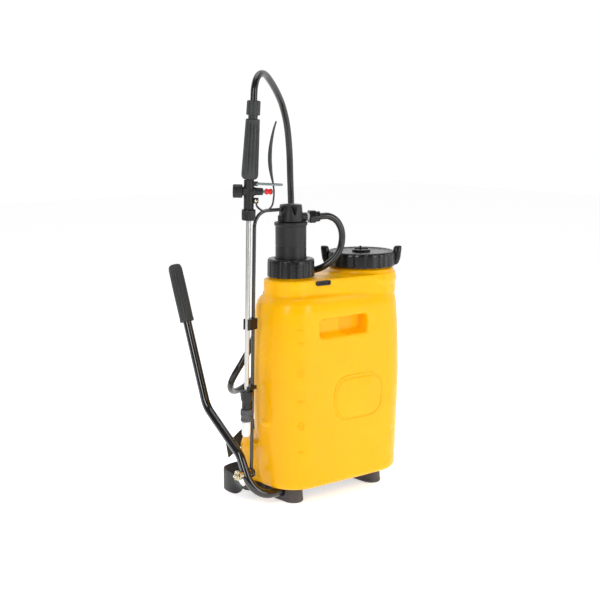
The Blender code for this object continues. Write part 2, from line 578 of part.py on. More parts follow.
def rod():
    origin, along = rod_frame()
    foot, top = Vector((ROD_X, PIN.y, PIN.z)), Vector((ROD_X, 0, ROD_Z))
    path = filleted([foot + along * (EYE_R - 0.002), top, Vector((PUMP_X + 0.0115, 0, ROD_Z))], ROD_BEND, 8)
    piece = sweep("pump_rod", path, ROD_R, PAINT, sides=10)
    half = Vector((0.0025, 0, 0))
    join(piece, bar("eye", foot - half, foot + half, EYE_R, PAINT, segments=20))
    cut(piece, bar("eye_bore", foot - 4 * half, foot + 4 * half, EYE_BORE, PAINT, segments=20))
    across = along.cross(Vector((math.cos(LANCE_YAW), math.sin(LANCE_YAW), 0))).normalized()
    turn = Matrix((across.cross(along), across, along)).transposed()
    frame = frame_at(origin, turn)
    for name, (low, high) in zip(("lance_clip_upper", "lance_clip_lower"), CLIPS):
        half_width = TUBE_R + 0.0030
        block = prism(name, corners(-0.0065, LANCE_GAP + 0.0060, -half_width, half_width, 0.0040, 3), low, high, BLACK,
                      frame)
        cut(block, bar("clip_bore", (0, 0, low - 0.01), (0, 0, high + 0.01), ROD_R + SEAT, BLACK, frame))
        slot = TUBE_R + RUN
        cut(block, box("clip_mouth", (LANCE_GAP - 0.0005, -slot, low - 0.01), (LANCE_GAP + 0.02, slot, high + 0.01),
                       BLACK, frame))
        cut(block, bar("clip_seat", (LANCE_GAP, 0, low - 0.01), (LANCE_GAP, 0, high + 0.01), slot, BLACK, frame))


def lance():
    """Everything that lifts out of the clips by hand, built up its own axis with X towards the trigger."""
    origin, along = rod_frame()
    origin = origin + LANCE_GAP * Vector((math.cos(LANCE_YAW), math.sin(LANCE_YAW), 0))
    to_trigger = Vector((math.cos(TRIGGER_YAW), math.sin(TRIGGER_YAW), 0))
    across = along.cross(to_trigger).normalized()
    axes = Matrix((across.cross(along), across, along)).transposed()
    frame = frame_at(origin, axes)
    lathe("nozzle_tip", [(0.0010, TIP[0]), (0.0055, TIP[0]), (0.0078, TIP[0] + 0.006), (0.0078, TIP[1]), (0.0010,
          TIP[1])], PALE, frame, 16)
    low, high = NOZZLE_CAP
    lathe("nozzle_cap", [(0.0010, low), (0.0103, low), (0.0103, high), (0.0064, high), (0.0064, low + 0.004), (0.0010,
          low + 0.004)], GREY, frame, 16)
    low, high = NOZZLE_BODY
    lathe("nozzle_body", [(0.0015, low - 0.0160), (0.0059, low - 0.0160), (0.0059, low), (0.0082, low), (0.0082,
          low + 0.014), (0.0100, low + 0.016), (0.0100, high), (0.0015, high)], BLACK, frame, 16)
    tube_top = UNION[0] + 0.0040
    lathe("lance_tube", [(TUBE_R - 0.0010, high + SEAT), (TUBE_R, high + SEAT), (TUBE_R, tube_top), (TUBE_R - 0.0010,
          tube_top)], TUBE, frame, 12)
    low, high = UNION
    seat = low + 0.0075
    lathe("lance_union_nut", [(TUBE_R + RUN, low), (0.0120, low), (0.0120, high), (VALVE_R + RUN, high), (VALVE_R + RUN,
          low + 0.0035), (TUBE_R + RUN, low + 0.0035)], BLACK, frame, 20)
    lathe("lance_seal", [(TUBE_R + 0.0006, seat - 0.0028), (0.0080, seat - 0.0028), (0.0080, seat - SEAT), (TUBE_R +
          0.0006, seat - SEAT)], RUBBER, frame, 12)
    valve(frame, seat)
    handle(frame)


def valve(frame, seat):
    """The trigger valve: its body, the side cap and spring, the sprung stem, the trigger and its lock."""
    z = VALVE_Z
    top = HANDLE[0] - SEAT
    body = bar("valve_body", (0, 0, seat), (0, 0, top), VALVE_R, BLACK, frame, 20)
    join(body, bar("valve_barrel", (-0.0105, 0, z), (0.0110, 0, z), 0.0080, BLACK, frame))
    join(body, bar("stem_housing", (0, 0, z), (0.0240, 0, z), 0.0060, BLACK, frame))
    hinge_x, hinge_z = 0.0125, z - 0.0155
    join(body, box("trigger_lug", (0.0040, -0.0033, hinge_z - 0.005), (hinge_x + 0.004, 0.0033, hinge_z + 0.005),
                   BLACK, frame))
    bail_x, bail_z = 0.0125, z + 0.0130
    join(body, box("bail_lug", (0.0040, -0.0045, bail_z - 0.004), (bail_x + 0.003, 0.0045, bail_z + 0.004), BLACK,
                   frame))
    cut(body, bar("plug_bore", (-0.02, 0, z), (-0.0005, 0, z), 0.0047, BLACK, frame, 12))
    cut(body, bar("stem_bore", (-0.01, 0, z), (0.03, 0, z), 0.0030 + RUN, BLACK, frame, 12))
    cut(body, bar("hinge_bore", (hinge_x, -0.02, hinge_z), (hinge_x, 0.02, hinge_z), 0.0018, BLACK, frame, 10))
    cut(body, bar("bail_bore", (bail_x, -0.02, bail_z), (bail_x, 0.02, bail_z), 0.0017, BLACK, frame, 10))
    bar("trigger_pin", (hinge_x, -0.0072, hinge_z), (hinge_x, 0.0072, hinge_z), 0.0015, ZINC, frame, 10)
    side = frame_at((0, 0, 0))
    side.parent = frame
    side.matrix_local = Matrix.Translation((-0.0108, 0, z)) @ Matrix.Rotation(-math.pi / 2, 4, "Y")
    lathe("valve_cap", [(0, 0.0135), (0.0070, 0.0135), (0.0070, 0), (0.0115, 0), (0.0115, 0.0150), (0.0105, 0.0162),
                        (0, 0.0162)], BLACK, side, 20)
    coil = [(0.0042 * math.cos(t), 0.0042 * math.sin(t), 0.0015 + 0.0110 * t / (8 * math.pi)) for t in
            (8 * math.pi * i / 32 for i in range(33))]
    sweep("valve_spring", coil, 0.0006, ZINC, side, 5)
    lathe("valve_stem", [(0, -0.0060), (0.0043, -0.0060), (0.0043, -0.0020), (0.0030, -0.0020), (0.0030, 0.0275),
                         (0, 0.0275)], ZINC, stem_frame(frame), 12)
    lathe("stem_button", [(0, 0.0278), (0.0052, 0.0278), (0.0052, 0.0372), (0.0030, 0.0404), (0, 0.0404)], RED,
          stem_frame(frame), 14)
    trigger(frame, hinge_x, hinge_z)
    half = 0.0078
    loop = filleted([(bail_x, -half, bail_z), (0.0560, -half, bail_z - 0.001), (0.0560, half, bail_z - 0.001),
                     (bail_x, half, bail_z)], 0.0040, 3)
    wire = [Vector((bail_x, -0.0008, bail_z)), *loop, Vector((bail_x, 0.0008, bail_z))]
    sweep("trigger_lock", wire, 0.0011, ZINC, frame, 6)


def stem_frame(frame):
    """A frame on the valve's cross axis, with Z towards the trigger."""
    empty = frame_at((0, 0, 0))
    empty.parent = frame
    empty.matrix_local = Matrix.Translation((0, 0, VALVE_Z)) @ Matrix.Rotation(math.pi / 2, 4, "Y")
    return empty


def trigger(frame, hinge_x, hinge_z):
    """A bent strip that loops under the valve and runs up beside the grip."""
    route = [(hinge_x, hinge_z), (0.0150, 0.5310), (0.0270, 0.5240), (0.0390, 0.5330), (0.0425, 0.5520), (0.0410,
             0.5700), (0.0370, 0.5900), (0.0348, 0.6120), (0.0358, 0.6350), (0.0400, 0.6600), (0.0445, 0.6760)]
    points = smooth([(x, 0, z) for x, z in route], 0.006)
    half = 0.0009
    edge = []
    for i, p in enumerate(points):
        ahead = points[min(i + 1, len(points) - 1)] - points[max(i - 1, 0)]
        edge.append(Vector((ahead.z, 0, -ahead.x)).normalized() * half)
    outline = [p + e for p, e in zip(points, edge)] + [p - e for p, e in zip(points, edge)][::-1]
    rings = [[Vector((p.x, y, p.z)) for p in outline] for y in (-0.0060, 0.0060)]
    strip = loft("trigger", rings, PAINT, frame)
    join(strip, bar("ears", (hinge_x, -0.0060, hinge_z), (hinge_x, 0.0060, hinge_z), 0.0040, PAINT, frame, 12))
    cut(strip, box("ear_gap", (hinge_x - 0.008, -0.0038, hinge_z - 0.0085), (hinge_x + 0.0062, 0.0038,
                   hinge_z + 0.0070), PAINT, frame))
    cut(strip, bar("pin_bore", (hinge_x, -0.02, hinge_z), (hinge_x, 0.02, hinge_z), 0.0018, PAINT, frame, 10))


def handle(frame):
    """The ribbed hand grip above the valve, a little tilted, and the union that the hose enters."""
    tilted = frame_at((0, 0, 0))
    tilted.parent = frame
    tilted.matrix_local = Matrix.Translation((0, 0, VALVE_Z)) @ Matrix.Rotation(HANDLE_TILT, 4, "Y")
    low, high = (z - VALVE_Z + 0.0006 for z in HANDLE)
    lathe("handle_grip", [(0, low), (0.0100, low), (0.0143, low + 0.004), (0.0120, high - 0.001), (0.0110, high),
                          (0.0080, high), (0.0080, high + 0.0045), (0, high + 0.0045)], GREY, tilted, 20)
    low, high = (z - VALVE_Z + 0.0011 for z in HOSE_UNION)
    lathe("hose_union_nut", [(0, low), (0.0117, low), (0.0117, high), (0, high)], GREY, tilted, 20)


def hose():
    for number, points in enumerate(HOSE_ROUTE, 1):
        before = Vector(HOSE_ROUTE[number - 2][-2]) if number > 1 else None
        after = Vector(HOSE_ROUTE[number][1]) if number < len(HOSE_ROUTE) else None
        path = smooth(points, HOSE_STEP, before, after)
        if before:
            ahead = (Vector(points[1]) - before).normalized()
            path = [path[0] + ahead * SEAT, path[0] + ahead * HOSE_R, *path[1:]]
        if after:
            ahead = (after - Vector(points[-2])).normalized()
            path = [*path[:-1], path[-1] - ahead * HOSE_R, path[-1] - ahead * SEAT]
        curve = bpy.data.curves.new(f"hose_{number}", "CURVE")
        curve.dimensions = "3D"
        curve.bevel_depth = HOSE_R
        curve.bevel_resolution = 2
        curve.use_fill_caps = True
        spline = curve.splines.new("POLY")
        spline.points.add(len(path) - 1)
        for slot, point in zip(spline.points, path):
            slot.co = (*point, 1)
        curve.materials.append(HOSE)
        link(bpy.data.objects.new(f"hose_{number}", curve))


def harness():
    """Two shoulder straps on the back: an anchor plate, pads, buckles and the webbing down to the base's lugs."""
    anchor = box("harness_anchor", (-0.0900, BACK + SEAT, TANK_TOP - 0.042), (0.0900, BACK + 0.0045,
                 TANK_TOP - 0.016), BLACK, round_by=0.001)
    join(anchor)
    up = Vector((0, 0, 1))
    for side, sign in (("left", -1), ("right", 1)):
        def at(x, y, z, sign=sign):
            return Vector((-sign * x, y, z))
        flat = Vector((1, 0, 0))
        back = BACK
        pad = [(at(-0.0560, back + 0.0100, TANK_TOP - 0.026), flat), (at(-0.0580, back + 0.0125, TANK_TOP - 0.050),
               flat), (at(-0.0590, back + 0.0115, 0.270), flat), (at(-0.0590, back + 0.0120, 0.200), flat),
               (at(-0.0590, back + 0.0180, 0.160), flat), (at(-0.0595, back + 0.0330, 0.138), flat)]
        ribbon(f"shoulder_pad_{side}", pad, 0.0560, 0.0080, WEB)
        buckle_y = back + LUMBAR_DEPTH + 0.0060
        box(f"strap_buckle_{side}", tuple(at(-0.0595, 0, 0) + Vector((-0.0230, buckle_y - 0.0025, 0.0960))),
            tuple(at(-0.0595, 0, 0) + Vector((0.0230, buckle_y + 0.0035, 0.1230))), BLACK, round_by=0.001)
        deep = Vector((0, -1, 0))
        web = [
            (at(-0.0600, buckle_y + 0.0010, 0.0910), flat),
            (at(-0.0640, buckle_y + 0.0060, 0.0680), flat + 0.35 * sign * up),
            (at(-0.0800, buckle_y + 0.0120, 0.0410), flat + 1.4 * sign * up),
            (at(-0.0980, buckle_y + 0.0180, 0.0250), up), (at(-0.1200, buckle_y + 0.0210, 0.0220), up),
            (at(-0.1380, buckle_y + 0.0160, 0.0215), up), (at(-0.1500, buckle_y + 0.0030, 0.0215), up),
            (at(-0.1550, buckle_y - 0.0130, 0.0215), up + 0.2 * deep),
            (at(-0.1560, buckle_y - 0.0290, 0.0205), up + 0.6 * deep),
            (at(-0.1530, buckle_y - 0.0430, 0.0185), up + 1.8 * deep),
            (at(-0.1450, buckle_y - 0.0530, 0.0165), deep),
            (at(-0.1350, buckle_y - 0.0590, 0.0155), deep), (at(-0.1265, buckle_y - 0.0600, 0.0150), deep),
        ]
        ribbon(f"strap_webbing_{side}", web, 0.0380, 0.0020, WEB)


def stand_on_origin():
    """Moves everything so that the pieces other than the hose stand centred on the origin."""
    bpy.context.view_layer.update()
    graph = bpy.context.evaluated_depsgraph_get()
    low, high = Vector((9, 9, 9)), Vector((-9, -9, -9))
    for obj in bpy.data.objects:
        if obj.type != "MESH" or obj.hide_render:
            continue
        mesh = obj.evaluated_get(graph).to_mesh()
        for vertex in mesh.vertices:
            place = obj.matrix_world @ vertex.co
            low = Vector(map(min, low, place))
            high = Vector(map(max, high, place))
    root = frame_at((0, 0, 0))
    for obj in list(bpy.data.objects):
        if obj.parent is None and obj != root:
            obj.parent = root
    root.location = (-(low.x + high.x) / 2, -(low.y + high.y) / 2, -low.z)


for old in list(bpy.data.objects):
    bpy.data.objects.remove(old)
tank()
base()
pump()
lid()
lever()
rod()
lance()
hose()
harness()
stand_on_origin()
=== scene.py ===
"""Looks for the backpack sprayer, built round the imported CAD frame. Design coordinates put the tank's middle at
X = 0, the two necks on Y = 0 and the soles on Z = 0; everything is moved by ORIGIN into the row frame at the end."""

import json
import math

import bmesh
import bpy
from mathutils import Matrix, Vector


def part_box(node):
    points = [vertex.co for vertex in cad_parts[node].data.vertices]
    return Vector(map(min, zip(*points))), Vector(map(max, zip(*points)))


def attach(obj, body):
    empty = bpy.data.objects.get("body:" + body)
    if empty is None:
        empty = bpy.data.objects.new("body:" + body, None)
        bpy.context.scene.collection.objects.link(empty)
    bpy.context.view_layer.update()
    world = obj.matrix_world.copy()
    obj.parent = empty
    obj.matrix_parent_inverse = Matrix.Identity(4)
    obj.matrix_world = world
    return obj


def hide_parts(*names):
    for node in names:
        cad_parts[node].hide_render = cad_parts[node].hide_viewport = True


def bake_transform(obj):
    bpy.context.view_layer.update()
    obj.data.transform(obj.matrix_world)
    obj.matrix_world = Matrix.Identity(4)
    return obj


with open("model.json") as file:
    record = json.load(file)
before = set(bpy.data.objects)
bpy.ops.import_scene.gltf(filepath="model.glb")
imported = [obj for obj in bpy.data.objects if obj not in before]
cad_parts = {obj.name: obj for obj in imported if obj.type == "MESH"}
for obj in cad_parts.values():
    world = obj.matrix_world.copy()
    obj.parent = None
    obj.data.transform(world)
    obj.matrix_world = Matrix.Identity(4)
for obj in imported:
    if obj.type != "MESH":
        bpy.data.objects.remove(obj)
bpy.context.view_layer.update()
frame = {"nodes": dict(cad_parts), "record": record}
base_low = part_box("base_frame")[0]
ORIGIN = base_low - Vector((-0.1250, -0.0380, 0.0))
SHIFT = Matrix.Translation(ORIGIN)
TAU = 2 * math.pi

# ---------------------------------------------------------------- design sizes, as the CAD has them
HALF_WIDTH, FRONT, BACK, CORNER = 0.1455, -0.0670, 0.0640, 0.0550
TANK_BOTTOM, TANK_TOP, DECK_TOP, NECK_TOP = 0.0295, 0.3740, 0.3990, 0.4280
PUMP_X, LID_X = -0.0840, 0.0840
RAIL_X, RAIL_HALF, RAIL_FRONT, RAIL_BACK = 0.0950, 0.0180, -0.0380, 0.0980
AXLE_Y, AXLE_Z = -0.0080, 0.0190
LEVER_X, ROD_X = -0.1765, -0.1645
PIN_ANGLE = math.radians(61.1)
PIN = Vector((LEVER_X, AXLE_Y + 0.0445 * math.cos(PIN_ANGLE), AXLE_Z + 0.0445 * math.sin(PIN_ANGLE)))
BARREL_TOP = 0.4990
ROD_Z, OUTLET_Z, HEAD_TOP = BARREL_TOP + 0.0230, BARREL_TOP + 0.0080, BARREL_TOP + 0.0307
KNEE, LEVER_TOP = (0.1290, 0.1580), (0.2254, 0.4087)
LANCE_GAP, LANCE_YAW, TRIGGER_YAW = 0.0150, math.radians(190), math.radians(-40)
VALVE_Z = 0.5575
HOSE_D = 0.0120
BUCKLE_Y = BACK + 0.0460
WEB_WIDTH, TAIL_WIDTH, WEB_THICK = 0.0376, 0.0300, 0.0019
PAD_HALF, SEAM_EVERY = 0.0278, 0.0300

HOSE_ROUTE = (
    (
        (-0.0320, -0.0189, 0.5070), (-0.0180, -0.0240, 0.5068), (-0.0045, -0.0290, 0.4995), (0.0040, -0.0320, 0.4860),
        (0.0070, -0.0330, 0.4700), (0.0060, -0.0310, 0.4530), (0.0005, -0.0270, 0.4370), (-0.0090, -0.0190, 0.4235),
        (-0.0190, -0.0080, 0.4140), (-0.0270, 0.0060, 0.4085), (-0.0325, 0.0230, 0.4070), (-0.0370, 0.0400, 0.4085),
        (-0.0415, 0.0575, 0.4080), (-0.0470, 0.0745, 0.4010), (-0.0530, 0.0880, 0.3870), (-0.0590, 0.0965, 0.3680),
        (-0.0665, 0.0990, 0.3430), (-0.0780, 0.0970, 0.3150), (-0.0930, 0.0930, 0.2850), (-0.1100, 0.0890, 0.2600),
    ),
    (
        (-0.1100, 0.0890, 0.2600), (-0.1245, 0.0895, 0.2400), (-0.1345, 0.0960, 0.2200), (-0.1360, 0.1080, 0.2010),
        (-0.1260, 0.1230, 0.1850), (-0.1080, 0.1375, 0.1750), (-0.0860, 0.1480, 0.1730), (-0.0640, 0.1530, 0.1790),
        (-0.0430, 0.1520, 0.1930), (-0.0250, 0.1460, 0.2130), (-0.0110, 0.1370, 0.2390), (-0.0030, 0.1270, 0.2700),
        (0.0010, 0.1180, 0.3050), (0.0020, 0.1110, 0.3450), (0.0020, 0.1060, 0.3900), (0.0015, 0.1030, 0.4350),
        (0.0005, 0.1010, 0.4800), (-0.0005, 0.1000, 0.5200), (-0.0045, 0.0971, 0.5640), (-0.0092, 0.0941, 0.6180),
    ),
    (
        (-0.0092, 0.0941, 0.6180), (-0.0215, 0.0861, 0.6640), (-0.0430, 0.0724, 0.6985), (-0.0680, 0.0563, 0.7210),
        (-0.0950, 0.0390, 0.7390),
    ),
    (
        (-0.0950, 0.0390, 0.7390), (-0.1220, 0.0217, 0.7520), (-0.1440, 0.0075, 0.7535), (-0.1610, -0.0035, 0.7455),
        (-0.1710, -0.0098, 0.7300), (-0.1743, -0.0122, 0.7112),
    ),
)


# ---------------------------------------------------------------- materials
def shader_of(name):
    material = bpy.data.materials.new(name)
    material.use_nodes = True
    return material, material.node_tree.nodes, material.node_tree.links, material.node_tree.nodes["Principled BSDF"]


def noise_of(nodes, links, scale, detail=4.0, rough=0.5, stretch=None):
    """A noise texture on object coordinates, stretched where a direction is wanted."""
    coords = nodes.new("ShaderNodeTexCoord")
    texture = nodes.new("ShaderNodeTexNoise")
    texture.inputs["Scale"].default_value = scale
    texture.inputs["Detail"].default_value = detail
    texture.inputs["Roughness"].default_value = rough
    if stretch:
        mapping = nodes.new("ShaderNodeMapping")
        mapping.inputs["Scale"].default_value = stretch
        links.new(coords.outputs["Object"], mapping.inputs["Vector"])
        links.new(mapping.outputs["Vector"], texture.inputs["Vector"])
    else:
        links.new(coords.outputs["Object"], texture.inputs["Vector"])
    return texture


def ramp_of(nodes, links, source, stops):
    ramp = nodes.new("ShaderNodeValToRGB")
    ramp.color_ramp.elements[0].position, ramp.color_ramp.elements[0].color = stops[0][0], (*stops[0][1], 1)
    ramp.color_ramp.elements[1].position, ramp.color_ramp.elements[1].color = stops[-1][0], (*stops[-1][1], 1)
    for place, colour in stops[1:-1]:
        ramp.color_ramp.elements.new(place).color = (*colour, 1)
    links.new(source, ramp.inputs["Fac"])
    return ramp


def range_of(nodes, links, source, low, high):
    node = nodes.new("ShaderNodeMapRange")
    node.inputs["From Min"].default_value, node.inputs["From Max"].default_value = 0.3, 0.7
    node.inputs["To Min"].default_value, node.inputs["To Max"].default_value = low, high
    links.new(source, node.inputs["Value"])
    return node


def surface(name, dark, light, rough, metallic=0.0, grain=900, bump=0.02, depth=0.0002, patch=14, stretch=None,
            **sockets):
    """A procedural Principled material: two close tones in patches, roughness that wanders, and a fine grain."""
    material, nodes, links, shader = shader_of(name)
    patches = noise_of(nodes, links, patch, 6, 0.6, stretch)
    links.new(ramp_of(nodes, links, patches.outputs["Fac"], [(0.32, dark), (0.68, light)]).outputs["Color"],
              shader.inputs["Base Color"])
    smudge = noise_of(nodes, links, patch * 3.1, 5, 0.65, stretch)
    links.new(range_of(nodes, links, smudge.outputs["Fac"], *rough).outputs["Result"], shader.inputs["Roughness"])
    fine = noise_of(nodes, links, grain, 3, 0.6, stretch)
    bumps = nodes.new("ShaderNodeBump")
    bumps.inputs["Strength"].default_value = bump
    bumps.inputs["Distance"].default_value = depth
    links.new(fine.outputs["Fac"], bumps.inputs["Height"])
    links.new(bumps.outputs["Normal"], shader.inputs["Normal"])
    shader.inputs["Metallic"].default_value = metallic
    for socket, value in sockets.items():
        shader.inputs[socket.replace("_", " ")].default_value = value
    return material


def webbing_material():
    """Woven webbing: rows of ribs across the strap, read from its UV map, with painted shade in the grooves between
    threads and a painted highlight on their raised tops.
    """
    material, nodes, links, shader = shader_of("webbing_weave")
    uv = nodes.new("ShaderNodeUVMap")
    uv.uv_map = "UVMap"
    waves = []
    for direction, scale in (("X", 95.0), ("Y", 190.0)):
        wave = nodes.new("ShaderNodeTexWave")
        wave.bands_direction = direction
        wave.inputs["Scale"].default_value = scale
        wave.inputs["Distortion"].default_value = 0.6
        links.new(uv.outputs["UV"], wave.inputs["Vector"])
        waves.append(wave)
    both = nodes.new("ShaderNodeMath")
    both.operation = "MULTIPLY"
    links.new(waves[0].outputs["Fac"], both.inputs[0])
    links.new(waves[1].outputs["Fac"], both.inputs[1])
    # Colour follows the weave's height: painted shade, darker in the grooves, and a painted highlight, lighter on the
    # raised threads.
    links.new(ramp_of(nodes, links, both.outputs["Value"],
                      [(0.0, (0.006, 0.006, 0.007)), (1.0, (0.045, 0.045, 0.048))]).outputs["Color"],
              shader.inputs["Base Color"])
    bumps = nodes.new("ShaderNodeBump")
    bumps.inputs["Strength"].default_value = 0.5
    bumps.inputs["Distance"].default_value = 0.0005
    links.new(both.outputs["Value"], bumps.inputs["Height"])
    links.new(bumps.outputs["Normal"], shader.inputs["Normal"])
    shader.inputs["Roughness"].default_value = 0.85
    shader.inputs["Sheen Weight"].default_value = 0.3
    shader.inputs["Sheen Roughness"].default_value = 0.5
    return material


YELLOW = surface("tank_polyethylene", (0.95, 0.45, 0.000), (0.99, 0.50, 0.000), (0.24, 0.34), grain=420, bump=0.02,
                 depth=0.0004, patch=5, Subsurface_Weight=0.25, Subsurface_Scale=0.008,
                 Subsurface_Radius=(1.0, 0.35, 0.02), Specular_IOR_Level=0.18, Coat_Weight=0.10, Coat_Roughness=0.10)
BLACK = surface("black_plastic", (0.006, 0.006, 0.007), (0.012, 0.012, 0.013), (0.20, 0.32), grain=1300, bump=0.06,
                Specular_IOR_Level=0.4)
SATIN = surface("satin_black_plastic", (0.008, 0.008, 0.008), (0.016, 0.016, 0.016), (0.34, 0.46), grain=1500,
                bump=0.10, Specular_IOR_Level=0.35)
RAIL = surface("rail_plastic", (0.045, 0.042, 0.043), (0.070, 0.066, 0.067), (0.48, 0.62), grain=1200, bump=0.10)
GRIP = surface("grip_rubber", (0.020, 0.022, 0.022), (0.038, 0.041, 0.040), (0.50, 0.66), grain=1800, bump=0.16)
NOZZLE_GREY = surface("nozzle_grey", (0.045, 0.048, 0.050), (0.080, 0.085, 0.088), (0.38, 0.5), grain=1500, bump=0.08)
PALE = surface("pale_plastic", (0.80, 0.80, 0.78), (0.90, 0.90, 0.88), (0.30, 0.42), grain=1200, bump=0.04,
               Subsurface_Weight=0.2, Subsurface_Scale=0.004)
STUB = surface("stub_plastic", (0.42, 0.43, 0.43), (0.55, 0.56, 0.56), (0.30, 0.42), grain=1200, bump=0.04)
RED = surface("red_plastic", (0.62, 0.006, 0.006), (0.80, 0.012, 0.010), (0.25, 0.35), grain=1200, bump=0.03)
PAINT = surface("black_paint", (0.006, 0.006, 0.007), (0.013, 0.013, 0.014), (0.10, 0.19), metallic=0.0, grain=700,
                bump=0.03, Coat_Weight=0.6, Coat_Roughness=0.06)
TRIGGER_PAINT = surface("trigger_paint", (0.012, 0.013, 0.013), (0.030, 0.032, 0.032), (0.22, 0.34), grain=900,
                        bump=0.06)
ZINC = surface("zinc_plate", (0.55, 0.47, 0.30), (0.78, 0.72, 0.56), (0.18, 0.34), metallic=1.0, grain=900, bump=0.05,
               patch=60)
WIRE = surface("zinc_wire", (0.20, 0.24, 0.25), (0.34, 0.38, 0.38), (0.30, 0.42), metallic=0.7, grain=900, bump=0.05,
               patch=60)
TUBE = surface("lance_aluminium", (0.46, 0.46, 0.44), (0.60, 0.59, 0.56), (0.26, 0.38), metallic=1.0, grain=300,
               bump=0.05, patch=40, stretch=(1, 1, 0.03))
RUBBER = surface("rubber", (0.012, 0.012, 0.012), (0.024, 0.024, 0.024), (0.6, 0.75), grain=1300, bump=0.12)
HOSE = surface("hose_rubber", (0.006, 0.006, 0.006), (0.013, 0.013, 0.012), (0.13, 0.22), grain=500, bump=0.04,
               depth=0.0003, patch=30)
PADDING = surface("pad_fabric", (0.010, 0.010, 0.011), (0.028, 0.028, 0.030), (0.80, 0.92), grain=2400, bump=0.5,
                  depth=0.0004, patch=400, Sheen_Weight=0.35, Sheen_Roughness=0.5)
WEB = webbing_material()


# ---------------------------------------------------------------- making meshes
def made(bm, name, material, matrix=None, sharp=38):
    """Turns a bmesh in design coordinates into an object in the row frame."""
    bmesh.ops.remove_doubles(bm, verts=bm.verts, dist=1e-7)
    bmesh.ops.recalc_face_normals(bm, faces=bm.faces)
    mesh = bpy.data.meshes.new(name)
    bm.to_mesh(mesh)
    bm.free()
    mesh.transform(SHIFT @ matrix if matrix else SHIFT)
    mesh.materials.append(material)
    mesh.shade_smooth()
    mesh.set_sharp_from_angle(angle=math.radians(sharp))
    piece = bpy.data.objects.new(name, mesh)
    bpy.context.scene.collection.objects.link(piece)
    return piece


def settle(piece):
    """Applies every modifier of a piece to its mesh."""
    graph = bpy.context.evaluated_depsgraph_get()
    mesh = bpy.data.meshes.new_from_object(piece.evaluated_get(graph))
    piece.modifiers.clear()
    piece.data = mesh
    mesh.shade_smooth()
    return piece


def combine(piece, operation, *others):
    """Booleans others into piece, or out of it, and removes them."""
    for other in others:
        modifier = piece.modifiers.new(operation, "BOOLEAN")
        modifier.operation, modifier.object = operation, other
    settle(piece)
    for other in others:
        bpy.data.objects.remove(other)
    return piece


def merge(piece, *others):
    """Puts the others' meshes into piece's, as they stand."""
    bm = bmesh.new()
    bm.from_mesh(piece.data)
    for other in others:
        bm.from_mesh(other.data)
        bpy.data.objects.remove(other)
    bm.to_mesh(piece.data)
    bm.free()
    return piece


def moulded(piece, voxel, rounds):
    """Remeshes a Boolean result finely and relaxes it, so that its edges get the radii of a moulding."""
    bm = bmesh.new()
    bm.from_mesh(piece.data)
    bmesh.ops.remove_doubles(bm, verts=bm.verts, dist=2e-6)
    bmesh.ops.holes_fill(bm, edges=[e for e in bm.edges if len(e.link_faces) == 1])
    bm.to_mesh(piece.data)
    bm.free()
    remesh = piece.modifiers.new("Remesh", "REMESH")
    remesh.mode, remesh.voxel_size = "VOXEL", voxel
    relax = piece.modifiers.new("Relax", "SMOOTH")
    relax.factor, relax.iterations = 0.5, rounds
    return settle(piece)


def soften(points, radius, closed, steps=3):
    """Rounds the corners of a flat profile."""
    points = [Vector(p) for p in points]
    out = []
    for i, p in enumerate(points):
        if not closed and i in (0, len(points) - 1):
            out.append(p)
            continue
        a, b = points[i - 1] - p, points[(i + 1) % len(points)] - p
        reach = min(radius, a.length * 0.45, b.length * 0.45)
        start, end = p + a.normalized() * reach, p + b.normalized() * reach
        out += [start * (1 - t) ** 2 + p * 2 * t * (1 - t) + end * t * t for t in (k / steps for k in range(steps + 1))]
    return out


def turned(name, profile, material, matrix=None, sides=64, ripple=None, rounding=0.0006):
    """A lathe of (radius, height) points with softened corners; ripple(r, z, turn) gives ribs and lobes."""
    closed = profile[0][0] > 1e-7
    bm = bmesh.new()
    rings = []
    for r, z in soften(profile, rounding, closed):
        if r < 1e-7:
            rings.append([bm.verts.new((0, 0, z))])
            continue
        ring = []
        for k in range(sides):
            turn = TAU * k / sides
            reach = ripple(r, z, turn) if ripple else r
            ring.append(bm.verts.new((reach * math.cos(turn), reach * math.sin(turn), z)))
        rings.append(ring)
    for a, b in zip(rings, rings[1:] + (rings[:1] if closed else [])):
        for k in range(sides):
            j = (k + 1) % sides
            if len(a) == 1 and len(b) > 1:
                bm.faces.new((a[0], b[k], b[j]))
            elif len(b) == 1 and len(a) > 1:
                bm.faces.new((a[k], a[j], b[0]))
            elif len(a) > 1:
                bm.faces.new((a[k], a[j], b[j], b[k]))
    return made(bm, name, material, matrix)


def loft(name, rings, material, matrix=None, sharp=38):
    """Skins a row of closed rings and caps both ends."""
    bm = bmesh.new()
    rows = [[bm.verts.new(p) for p in ring] for ring in rings]
    for a, b in zip(rows, rows[1:]):
        for i in range(len(a)):
            j = (i + 1) % len(a)
            bm.faces.new((a[i], a[j], b[j], b[i]))
    bm.faces.new(rows[0])
    bm.faces.new(rows[-1])
    return made(bm, name, material, matrix, sharp)


def directions(path):
    return [(path[min(i + 1, len(path) - 1)] - path[max(i - 1, 0)]).normalized() for i in range(len(path))]


